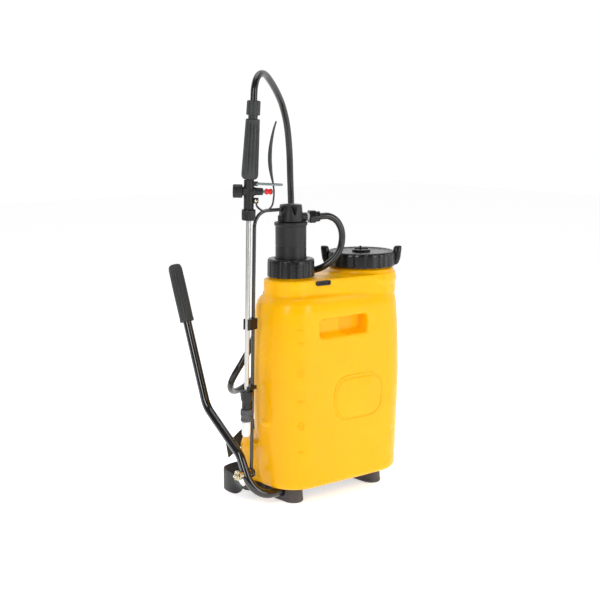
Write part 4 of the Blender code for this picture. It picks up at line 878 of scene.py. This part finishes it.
# ---------------------------------------------------------------- lever
def lever():
    aim = Vector((0, math.cos(PIN_ANGLE), math.sin(PIN_ANGLE)))
    start = Vector((LEVER_X, AXLE_Y, AXLE_Z))
    shin = start + aim * 0.0790
    knee, tip = Vector((LEVER_X, *KNEE)), Vector((LEVER_X, *LEVER_TOP))
    end = RAIL_X + RAIL_HALF + 0.0055
    path = filleted([(end, AXLE_Y, AXLE_Z), start, shin, knee, tip - (tip - knee).normalized() * 0.006],
                    [0.0400, 0.0420, 0.0480], 16)
    add(wire("lever_tube_bent", dense(path, 0.012), 0.00795, PAINT, sides=40, hollow=0.004), "lever", "painted_steel",
        "lever_tube")
    grip_frame = facing(tip, tip - knee)
    length = 0.1086

    def flutes(r, z, turn):
        if r < 0.0102 or not -length + 0.010 < z < -0.0085:
            return r
        fade = min(1, (z + length - 0.010) / 0.004, (-0.0085 - z) / 0.004)
        place = (turn * 16 / TAU) % 1
        return r - 0.0011 * fade * max(0, 1 - abs(place - 0.5) / 0.22)

    rows = [(0, -0.0035), (0.0083, -0.0035), (0.0083, -length), (0.0124, -length), (0.0131, -length + 0.0012),
            (0.0131, -length + 0.004),
            (0.0126, -length + 0.0062), (0.0126, -length + 0.0092)]
    rows += [(0.0126 + 0.0003 * math.sin(math.pi * k / 24), -length + 0.0100 + 0.0890 * k / 24) for k in range(25)]
    rows += [(0.0122, -0.0080), (0.0118, -0.0050), (0.0100, -0.0016), (0.0070, -0.0003), (0, 0)]
    add(turned("lever_handgrip", rows, GRIP, grip_frame, 192, flutes, 0.0006), "lever", "grey_plastic", "lever_grip")
    place = facing(PIN, (-1, 0, 0))
    out = 0.00825
    pin = [(0, -0.0205), (0.0030, -0.0205), (0.0050, -0.0196), (0.0050, -0.0180), (0.0030, -0.0180), (0.0030, 0.0245),
           (0.0022, 0.0268), (0, 0.0270)]
    add(turned("drive_pin", pin, ZINC, place, 40, rounding=0.0003), "lever", "zinc_steel", "lever_pin")
    bush = [(0.0033, out), (0.0062, out), (0.0065, out + 0.0008), (0.0065, out + 0.0072), (0.0062, out + 0.0080),
            (0.0033, out + 0.0080)]
    add(turned("drive_bush", bush, ZINC, place, 40, rounding=0.0003), "lever", "zinc_steel", "lever_bush")
    washer = [(0.0033, out + 0.0086), (0.0090, out + 0.0086), (0.0090, out + 0.0101), (0.0033, out + 0.0101)]
    add(turned("drive_washer", washer, ZINC, place, 48, rounding=0.0004), "lever", "zinc_steel", "lever_washer")
    x = PIN.x - out - 0.0125
    clip = [(x, PIN.y - 0.0044, PIN.z - 0.0075), (x, PIN.y - 0.0036, PIN.z - 0.0040), (x, PIN.y - 0.0044, PIN.z),
            (x, PIN.y - 0.0036, PIN.z + 0.0040), (x, PIN.y - 0.0030, PIN.z + 0.0068), (x, PIN.y, PIN.z + 0.0088),
            (x, PIN.y + 0.0036, PIN.z + 0.0064), (x, PIN.y + 0.0040, PIN.z), (x, PIN.y + 0.0036, PIN.z - 0.0080)]
    add(wire("drive_clip", curve(clip, 0.0008), 0.0010, ZINC, sides=12), "lever", "zinc_steel", "pin_clip")
    cap = facing((RAIL_X + RAIL_HALF + 0.0005, AXLE_Y, AXLE_Z), (1, 0, 0))
    plate = [(0, 0.0058), (0.0082, 0.0058), (0.0082, 0), (0.0100, 0), (0.0100, 0.0070), (0.0086, 0.0088), (0, 0.0092)]
    add(turned("axle_end_cap", plate, BLACK, cap, 48), "lever", "black_plastic", "axle_cap")


# ---------------------------------------------------------------- pump rod and clips
def rods():
    path = filleted([rod_foot + ALONG * 0.0070, rod_top, Vector((PUMP_X + 0.0115, 0, ROD_Z))], 0.0280, 20)
    body = wire("drive_rod", dense(path, 0.012), 0.0032, PAINT, sides=28)
    eye = [(0.0058, -0.0025), (0.0088, -0.0025), (0.0088, 0.0025), (0.0058, 0.0025)]
    merge(body, turned("eye", eye, PAINT, facing(rod_foot, (1, 0, 0)), 56, rounding=0.0007))
    add(body, "rod", "painted_steel", "pump_rod")
    for name, node, low, high in (("clip_upper", "lance_clip_upper", 0.3180, 0.3370),
                                  ("clip_lower", "lance_clip_lower", 0.2110, 0.2170)):
        outer = 0.0072
        rows = [[(x, y, z) for x, y in corners(-0.0065, 0.0205, -outer, outer, 0.0050, 8)] for z in (low, high)]
        piece = loft(name, rows, BLACK, AT_CLIPS)
        combine(piece, "DIFFERENCE",
                rod("clip_bore", (0, 0, low - 0.01), (0, 0, high + 0.01), 0.0036, BLACK, AT_CLIPS),
                rod("clip_seat", (LANCE_GAP, 0, low - 0.01), (LANCE_GAP, 0, high + 0.01), 0.0047, BLACK, AT_CLIPS),
                loft("clip_mouth", [[(x, y, z) for x, y in ((0.0150, -0.0042), (0.0190, -0.0044), (0.0220, -0.0062),
                                                            (0.0220, 0.0062), (0.0190, 0.0044), (0.0150, 0.0042))]
                                    for z in (low - 0.01, high + 0.01)], BLACK, AT_CLIPS))
        moulded(piece, 0.0004, 4)
        add(piece, "rod", "black_plastic", node)


# ---------------------------------------------------------------- lance
def lance():
    tip = [(0, 0.1290), (0.0008, 0.1290), (0.0010, 0.1280), (0.0032, 0.1276), (0.0055, 0.1282), (0.0070, 0.1305),
           (0.0077, 0.1345), (0.0078, 0.1400), (0.0078, 0.1530), (0.0074, 0.1545), (0, 0.1545)]
    add(turned("spray_tip", tip, PALE, AT_LANCE, 64, rounding=0.0004), "nozzle", "pale_plastic", "nozzle_tip")
    cap = [(0, 0.1548), (0.0080, 0.1548), (0.0096, 0.1556), (0.0101, 0.1580), (0.0092, 0.1612), (0.0092, 0.1650),
           (0.0103, 0.1668), (0.0103, 0.1752), (0.0096, 0.1768), (0.0064, 0.1768), (0.0064, 0.1600), (0, 0.1600)]
    add(turned("spray_cap", cap, NOZZLE_GREY, AT_LANCE, 144, ribs(24, 0.0005, 0.1672, 0.1750, 3, 0.0090), 0.0004),
        "nozzle", "grey_plastic", "nozzle_cap")
    body = [(0.0015, 0.1612), (0.0059, 0.1612), (0.0059, 0.1771), (0.0076, 0.1771), (0.0080, 0.1785), (0.0080, 0.1905),
            (0.0092, 0.1925), (0.0100, 0.1960), (0.0112, 0.2060), (0.0122, 0.2078), (0.0124, 0.2093), (0.0015, 0.2093)]
    holder = turned("spray_body", body, BLACK, AT_LANCE, 96, rounding=0.0005)
    dots = [ball(f"port_{i}", (0.0079 * math.cos(a), 0.0079 * math.sin(a), z), (0.0011, 0.0011, 0.0011), BLACK,
                 AT_LANCE) for i, (a, z) in enumerate([(TAU * k / 6 + 0.2, 0.1820 + 0.0030 * (k % 2))
                                                      for k in range(6)])]
    combine(holder, "DIFFERENCE", *dots)
    holder.data.set_sharp_from_angle(angle=math.radians(40))
    add(holder, "lance", "black_plastic", "nozzle_body")
    tube = [(0.0032, 0.2096), (0.0042, 0.2096), (0.0042, 0.5120), (0.0032, 0.5120)]
    add(turned("lance_pipe", tube, TUBE, AT_LANCE, 48, rounding=0.0002), "lance", "lance_metal", "lance_tube")
    low, high = 0.5080, 0.5270
    nut = [(0.0047, low), (0.0104, low), (0.0118, low + 0.0012), (0.0120, low + 0.0100), (0.0120, high - 0.0016),
           (0.0112, high), (0.0090, high), (0.0090, low + 0.0035), (0.0047, low + 0.0035)]
    add(turned("union_ribbed", nut, BLACK, AT_LANCE, 144, ribs(18, 0.0006, low + 0.0016, high - 0.0018, 4, 0.0108),
               0.0005), "lance", "black_plastic", "lance_union_nut")
    valve()
    handle()


def valve():
    z = VALVE_Z
    body = rod("valve_housing", (0, 0, 0.5155), (0, 0, 0.5770), 0.0086, SATIN, AT_LANCE)
    hinge_x, hinge_z, bail_x, bail_z = 0.0125, z - 0.0155, 0.0125, z + 0.0130
    combine(body, "UNION",
            turned("barrel", [(0, -0.0105), (0.0078, -0.0105), (0.0082, -0.002), (0.0080, 0.0085), (0.0066, 0.0115),
                              (0.0062, 0.0225), (0.0056, 0.0240), (0, 0.0240)], SATIN,
                   AT_LANCE @ Matrix.Translation((0, 0, z)) @ Matrix.Rotation(math.pi / 2, 4, "Y"), 64),
            block("hinge_lug", (0.0040, -0.0034, hinge_z - 0.0048), (hinge_x + 0.0040, 0.0034, hinge_z + 0.0048), SATIN,
                  AT_LANCE, 0.0012),
            block("bail_lug", (0.0040, -0.0046, bail_z - 0.0038), (bail_x + 0.0028, 0.0046, bail_z + 0.0038), SATIN,
                  AT_LANCE, 0.0012))
    combine(body, "DIFFERENCE",
            rod("stem_bore", (-0.02, 0, z), (0.03, 0, z), 0.0036, SATIN, AT_LANCE),
            rod("hinge_bore", (hinge_x, -0.02, hinge_z), (hinge_x, 0.02, hinge_z), 0.0017, SATIN, AT_LANCE, 24),
            rod("bail_bore", (bail_x, -0.02, bail_z), (bail_x, 0.02, bail_z), 0.0015, SATIN, AT_LANCE, 24))
    moulded(body, 0.00045, 5)
    add(body, "lance", "black_plastic", "valve_body")
    side = AT_LANCE @ Matrix.Translation((-0.0108, 0, z)) @ Matrix.Rotation(-math.pi / 2, 4, "Y")
    cap = [(0, 0.0135), (0.0070, 0.0135), (0.0070, 0), (0.0108, 0), (0.0115, 0.0010), (0.0115, 0.0148),
           (0.0108, 0.0162),
           (0.0060, 0.0162), (0.0056, 0.0156), (0, 0.0156)]
    add(turned("valve_side_cap", cap, SATIN, side, 144, ribs(20, 0.0006, 0.0016, 0.0144, 4, 0.0100), 0.0005), "lance",
        "black_plastic", "valve_cap")
    stem = AT_LANCE @ Matrix.Translation((0, 0, z)) @ Matrix.Rotation(math.pi / 2, 4, "Y")
    spindle = [(0, -0.0060), (0.0043, -0.0060), (0.0043, -0.0020), (0.0030, -0.0020), (0.0030, 0.0278), (0, 0.0278)]
    add(turned("spindle", spindle, WIRE, stem, 32, rounding=0.0003), "valve_stem", "zinc_steel", "valve_stem")
    button = [(0, 0.0270), (0.0034, 0.0270), (0.0050, 0.0280), (0.0053, 0.0300), (0.0044, 0.0322), (0.0040, 0.0340),
              (0.0052, 0.0358), (0.0052, 0.0376), (0.0036, 0.0396), (0.0018, 0.0404), (0, 0.0405)]
    add(turned("valve_button", button, RED, stem, 48, rounding=0.0004), "valve_stem", "red_plastic", "stem_button")
    pin = rod("hinge_pin", (hinge_x, -0.0072, hinge_z), (hinge_x, 0.0072, hinge_z), 0.0015, ZINC, AT_LANCE, 24)
    heads = [ball(f"rivet_{s}", (hinge_x, s * 0.0070, hinge_z), (0.0026, 0.0010, 0.0026), ZINC, AT_LANCE)
             for s in (-1, 1)]
    add(merge(pin, *heads), "lance", "zinc_steel", "trigger_pin")
    trigger(hinge_x, hinge_z)
    half = 0.0078
    loop = filleted([(bail_x, -0.0030, bail_z), (bail_x, -half, bail_z), (0.0560, -half, bail_z - 0.001),
                     (0.0560, half, bail_z - 0.001), (bail_x, half, bail_z), (bail_x, 0.0030, bail_z)],
                    [0.0018, 0.0045, 0.0045, 0.0018], 8)
    add(wire("lock_wire", dense(loop, 0.003), 0.0016, WIRE, AT_LANCE, 16), "lock_bail", "zinc_steel", "trigger_lock")


def trigger(hinge_x, hinge_z):
    route = [(hinge_x, hinge_z - 0.0030), (0.0150, 0.5310), (0.0270, 0.5240), (0.0390, 0.5330), (0.0425, 0.5520),
             (0.0410, 0.5700), (0.0370, 0.5900), (0.0348, 0.6120), (0.0358, 0.6350), (0.0400, 0.6600), (0.0445, 0.6760)]
    path = curve([(x, 0, z) for x, z in route], 0.0018)
    count = len(path)
    width = [0.0100 + 0.0020 * math.sin(math.pi * min(1, k / count * 1.25)) - 0.0055 * max(0, (k / count - 0.72) / 0.28)
             for k in range(count)]
    thick = [0.0030 + 0.0038 * min(1, max(0, (k / count - 0.42) / 0.16)) - 0.0042 * max(0, (k / count - 0.70) / 0.30)
             for k in range(count)]
    strip = band("trigger_lever", path, Vector((0, 1, 0)), width, thick, TRIGGER_PAINT, AT_LANCE)
    ears = [turned(f"ear{s}", [(0.0017, 0), (0.0040, 0), (0.0040, 0.0020), (0.0017, 0.0020)], TRIGGER_PAINT,
                   AT_LANCE @ Matrix.Translation((hinge_x, s * 0.0049 + 0.0010, hinge_z)) @
                   Matrix.Rotation(math.pi / 2, 4, "X"), 32, rounding=0.0003) for s in (-1, 1)]
    merge(strip, *ears)
    add(strip, "trigger", "painted_steel", "trigger")


def handle():
    low, high = 0.5773 - VALVE_Z + 0.0006, 0.6790 - VALVE_Z

    def flutes(r, z, turn):
        if r < 0.0108 or not low + 0.0080 < z < high - 0.0030:
            return r
        fade = min(1, (z - low - 0.0080) / 0.006, (high - 0.0030 - z) / 0.005)
        place = (turn * 12 / TAU) % 1
        return r - 0.0016 * fade * max(0, 1 - abs(place - 0.5) / 0.26) ** 0.8

    rows = [(0, low), (0.0096, low), (0.0118, low + 0.0010), (0.0138, low + 0.0040), (0.0144, low + 0.0075)]
    rows += [(0.0144 - 0.0024 * k / 24, low + 0.0082 + (high - low - 0.0120) * k / 24) for k in range(25)]
    rows += [(0.0120, high - 0.0020), (0.0117, high - 0.0004), (0.0106, high), (0.0080, high), (0.0080, high + 0.0066),
             (0, high + 0.0066)]
    add(turned("hand_grip", rows, GRIP, AT_HANDLE, 192, flutes, 0.0007), "lance", "grey_plastic", "handle_grip")
    low, high = 0.6840 - VALVE_Z + 0.0011, 0.7085 - VALVE_Z + 0.0011
    rows = [(0, low), (0.0106, low), (0.0117, low + 0.0014), (0.0115, high - 0.0018), (0.0104, high), (0.0064, high),
            (0.0063, high - 0.0040), (0, high - 0.0040)]

    def flats(r, z, turn):
        if r < 0.0100:
            return r
        place = (turn * 10 / TAU) % 1
        return r - 0.0009 * max(0, 1 - abs(place - 0.5) / 0.14)

    add(turned("hose_nut", rows, GRIP, AT_HANDLE, 160, flats, 0.0006), "lance", "grey_plastic", "hose_union_nut")


# ---------------------------------------------------------------- hose
def hose():
    whole = [curve(points, 0.004, Vector(HOSE_ROUTE[i - 1][-2]) if i else None,
                   Vector(HOSE_ROUTE[i + 1][1]) if i + 1 < len(HOSE_ROUTE) else None)
             for i, points in enumerate(HOSE_ROUTE)]
    pairs = (("pump", "root"), ("root", "pump"), ("pump", "rod"), ("rod", "lance"))
    for number, (path, (a, b)) in enumerate(zip(whole, pairs), 1):
        first, last = number == 1, number == len(whole)
        if first:
            path = [path[0] - (path[1] - path[0]).normalized() * 0.0060, *path]
        if last:
            path = [*path, path[-1] + (path[-1] - path[-2]).normalized() * 0.0040]
        piece = wire(f"spray_hose_{number}", path, HOSE_D / 2, HOSE, sides=28, dome=0.02)
        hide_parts(f"hose_{number}")
        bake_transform(piece)


# ---------------------------------------------------------------- harness
def harness():
    plate = block("harness_plate", (-0.0900, BACK + 0.0003, 0.3320), (0.0900, BACK + 0.0045, 0.3580), BLACK,
                  round_by=0.0014)
    rivets = [turned(f"rivet_{i}", [(0, 0), (0.0038, 0), (0.0034, 0.0010), (0.0016, 0.0018), (0, 0.0020)], ZINC,
                     facing((x, BACK + 0.0044, 0.345), (0, 1, 0)), 32, rounding=0.0003)
              for i, x in enumerate((-0.082, -0.024, 0.024, 0.082))]
    merge(plate, *rivets)
    add(plate, "root", "black_plastic", "harness_anchor")
    up, deep, flat = Vector((0, 0, 1)), Vector((0, -1, 0)), Vector((1, 0, 0))
    for side, sign in (("left", -1), ("right", 1)):
        def at(x, y, z, sign=sign):
            return Vector((-sign * x, y, z))
        pad(side, [at(-0.0560, BACK + 0.0100, 0.3480), at(-0.0580, BACK + 0.0125, 0.3240),
                   at(-0.0590, BACK + 0.0115, 0.2700), at(-0.0590, BACK + 0.0120, 0.2000),
                   at(-0.0590, BACK + 0.0180, 0.1600), at(-0.0595, BACK + 0.0330, 0.1380)])
        buckle(side, at(-0.0595, BUCKLE_Y + 0.0005, 0.1095))
        web = [at(-0.0600, BUCKLE_Y + 0.0040, 0.0910), at(-0.0640, BUCKLE_Y + 0.0060, 0.0680),
               at(-0.0800, BUCKLE_Y + 0.0120, 0.0410), at(-0.0980, BUCKLE_Y + 0.0180, 0.0250),
               at(-0.1200, BUCKLE_Y + 0.0210, 0.0220), at(-0.1380, BUCKLE_Y + 0.0160, 0.0215),
               at(-0.1500, BUCKLE_Y + 0.0030, 0.0215), at(-0.1550, BUCKLE_Y - 0.0130, 0.0215),
               at(-0.1560, BUCKLE_Y - 0.0290, 0.0205), at(-0.1530, BUCKLE_Y - 0.0430, 0.0185),
               at(-0.1450, BUCKLE_Y - 0.0530, 0.0165), at(-0.1350, BUCKLE_Y - 0.0590, 0.0155),
               at(-0.1265, BUCKLE_Y - 0.0600, 0.0150)]
        lean = [flat, flat + 0.35 * sign * up, flat + 1.4 * sign * up, up, up, up, up, up + 0.2 * deep, up + 0.6 * deep,
                up + 1.8 * deep, deep, deep, deep]
        lean = [v.normalized() for v in lean]
        strap(f"harness_web_{side}", side, web, lean)


def strap(name, side, points, lean):
    """Webbing through given stations, its width turning smoothly from one to the next."""
    for i in range(1, len(lean)):
        if lean[i].dot(lean[i - 1]) < 0:
            lean[i] = -lean[i]
    path, across = [], []
    fine = curve(points, 0.003)
    marks_at, total = [0.0], 0.0
    for p, q in zip(points, points[1:]):
        total += (q - p).length
        marks_at.append(total)
    run, length = 0.0, sum((q - p).length for p, q in zip(fine, fine[1:]))
    for i, p in enumerate(fine):
        if i:
            run += (p - fine[i - 1]).length
        place = run / length * total
        k = max(j for j in range(len(points) - 1) if marks_at[j] <= place + 1e-9)
        t = min(1, (place - marks_at[k]) / (marks_at[k + 1] - marks_at[k]))
        t = t * t * (3 - 2 * t)
        path.append(p)
        across.append((lean[k] * (1 - t) + lean[k + 1] * t).normalized())
    piece = band(name, path, across, WEB_WIDTH, WEB_THICK, WEB)
    if side == "left":
        tail = curve([(-0.0595, 0.1165, 0.1010), (-0.0760, 0.1215, 0.0970), (-0.1000, 0.1215, 0.0900),
                      (-0.1240, 0.1160, 0.0800), (-0.1450, 0.1090, 0.0740)], 0.003)
        length += sum((q - p).length for p, q in zip(tail, tail[1:]))
        lean = [(Vector((0.35 * (1 - k / len(tail)), 0, 1))).normalized() for k in range(len(tail))]
        merge(piece, band(name + "_tail", tail, lean, TAIL_WIDTH, WEB_THICK, WEB))
    add(piece, "root", "webbing", f"strap_webbing_{side}")


def pad(side, points):
    """A shoulder pad: crowned foam in a bound cover with a sewn channel every SEAM_EVERY."""
    path = curve(points, 0.0025)
    total = sum((q - p).length for p, q in zip(path, path[1:]))
    bm = bmesh.new()
    rows, run = [], 0.0
    columns = 28
    for i, (point, ahead) in enumerate(zip(path, directions(path))):
        if i:
            run += (point - path[i - 1]).length
        place = run / total
        end = min(1.0, min(place, 1 - place) * total / 0.012)
        end = math.sqrt(max(0.0, 1 - (1 - end) ** 2))
        side_way = Vector((1, 0, 0))
        out = side_way.cross(ahead).normalized()
        if out.y < 0:
            out = -out
        channel = 1 - 0.42 * math.exp(-((((run / SEAM_EVERY) % 1) - 0.5) / 0.07) ** 2)
        ring = []
        for k in range(columns * 2):
            face = 1 if k < columns else -1
            u = (k % columns) / (columns - 1) * 2 - 1
            u = u if face > 0 else -u
            edge = math.sqrt(max(0.0, 1 - abs(u) ** 5))
            bind = 0.0012 if abs(u) > 0.90 else 0.0
            crown = (0.0028 + 0.0012 * (1 - u * u)) * edge * channel + bind * edge
            ring.append(bm.verts.new(point + side_way * u * PAD_HALF * (0.55 + 0.45 * end) + out * face * crown *
                                     (0.25 + 0.75 * end)))
        rows.append(ring)
    for a, b in zip(rows, rows[1:]):
        for k in range(len(a)):
            j = (k + 1) % len(a)
            bm.faces.new((a[k], a[j], b[j], b[k]))
    bm.faces.new(rows[0])
    bm.faces.new(rows[-1])
    piece = made(bm, f"harness_pad_{side}", PADDING, sharp=70)
    add(piece, "root", "webbing", f"shoulder_pad_{side}")


def buckle(side, middle):
    """A ladder-lock buckle: two side rails and three bars."""
    spot = Matrix.Translation(middle)
    parts = [block(f"rail_{s}", (s * 0.0213 - 0.0017, -0.0024, -0.0132), (s * 0.0213 + 0.0017, 0.0026, 0.0132), BLACK,
                   spot, 0.0010) for s in (-1, 1)]
    parts += [block(f"bar_{i}", (-0.0215, -0.0018, z - 0.0021), (0.0215, 0.0018, z + 0.0021), BLACK, spot, 0.0012)
              for i, z in enumerate((-0.0105, 0.0, 0.0105))]
    piece = merge(*parts)
    piece.name = f"ladder_lock_{side}"
    add(piece, "root", "black_plastic", f"strap_buckle_{side}")


# ---------------------------------------------------------------- carried-over CAD nodes
def carried():
    looks = {"tank_plastic": YELLOW, "black_plastic": BLACK, "grey_plastic": NOZZLE_GREY, "pale_plastic": PALE,
             "red_plastic": RED, "painted_steel": PAINT, "zinc_steel": ZINC, "lance_metal": TUBE, "rubber": RUBBER,
             "webbing": PADDING, "hose_rubber": HOSE}
    slots = {part["node"]: part["material_slot"] for part in frame["record"]["subparts"]}
    for name, node in frame["nodes"].items():
        if node.hide_render:
            continue
        for place in node.material_slots:
            place.material = looks[slots[name]]
        if not node.material_slots:
            node.data.materials.append(looks[slots[name]])


# ---------------------------------------------------------------- stage, light, camera
def stage():
    view = bpy.context.scene.view_settings
    view.view_transform, view.look, view.exposure, view.gamma = "Standard", "None", 0.0, 1.0
    white = surface("studio_floor", (0.96, 0.96, 0.96), (0.97, 0.97, 0.97), (0.85, 0.9), grain=60, bump=0.0,
                    Emission_Color=(1, 1, 1, 1), Emission_Strength=0.60)
    bm = bmesh.new()
    bmesh.ops.create_grid(bm, x_segments=2, y_segments=2, size=6)
    floor = made(bm, "studio_floor", white)
    floor.data.transform(Matrix.Translation((0, 0, -0.0004)))
    world = bpy.data.worlds.new("studio")
    world.use_nodes = True
    nodes, links = world.node_tree.nodes, world.node_tree.links
    coords, dot = nodes.new("ShaderNodeTexCoord"), nodes.new("ShaderNodeVectorMath")
    dot.operation = "DOT_PRODUCT"
    dot.inputs[1].default_value = (0.640, 0.766, 0.0)
    links.new(coords.outputs["Generated"], dot.inputs[0])
    ramp = nodes.new("ShaderNodeValToRGB")
    ramp.color_ramp.elements[0].position, ramp.color_ramp.elements[0].color = 0.0, (0.12, 0.12, 0.13, 1)
    ramp.color_ramp.elements[1].position, ramp.color_ramp.elements[1].color = 0.75, (1.02, 1.02, 1.02, 1)
    links.new(dot.outputs["Value"], ramp.inputs["Fac"])
    links.new(ramp.outputs["Color"], nodes["Background"].inputs["Color"])
    nodes["Background"].inputs["Strength"].default_value = 1.0
    bpy.context.scene.world = world
    target = ORIGIN + Vector((0, 0, 0.30))
    for name, place, size, power in (
        ("key", (-1.70, -0.75, 1.25), (0.5, 1.3), 16),
        ("front", (0.5, -2.1, 1.0), (0.9, 1.5), 20),
        ("right", (1.5, -1.0, 0.9), (0.3, 1.6), 5),
        ("top", (0.1, 0.2, 2.0), (1.2, 1.2), 9),
        ("back", (-0.6, 1.6, 1.1), (1.2, 1.2), 5),
    ):
        light = bpy.data.lights.new(name, "AREA")
        light.shape, light.size, light.size_y, light.energy = "RECTANGLE", size[0], size[1], power
        lamp = bpy.data.objects.new(name, light)
        lamp.location = ORIGIN + Vector(place)
        lamp.rotation_euler = (target - lamp.location).to_track_quat("-Z", "Y").to_euler()
        bpy.context.scene.collection.objects.link(lamp)
    data = bpy.data.cameras.new("camera")
    data.lens, data.sensor_width = 77.34, 36
    camera = bpy.data.objects.new("camera", data)
    camera.location = ORIGIN + Vector((-1.5199, -1.7270, 0.7225))
    camera.rotation_euler = (math.radians(90 - 9.154), 0, math.radians(-40.15))
    bpy.context.scene.collection.objects.link(camera)
    bpy.context.scene.camera = camera


stage()
hose()
tank()
plug()
base()
pump()
lid()
lever()
rods()
lance()
harness()
carried()
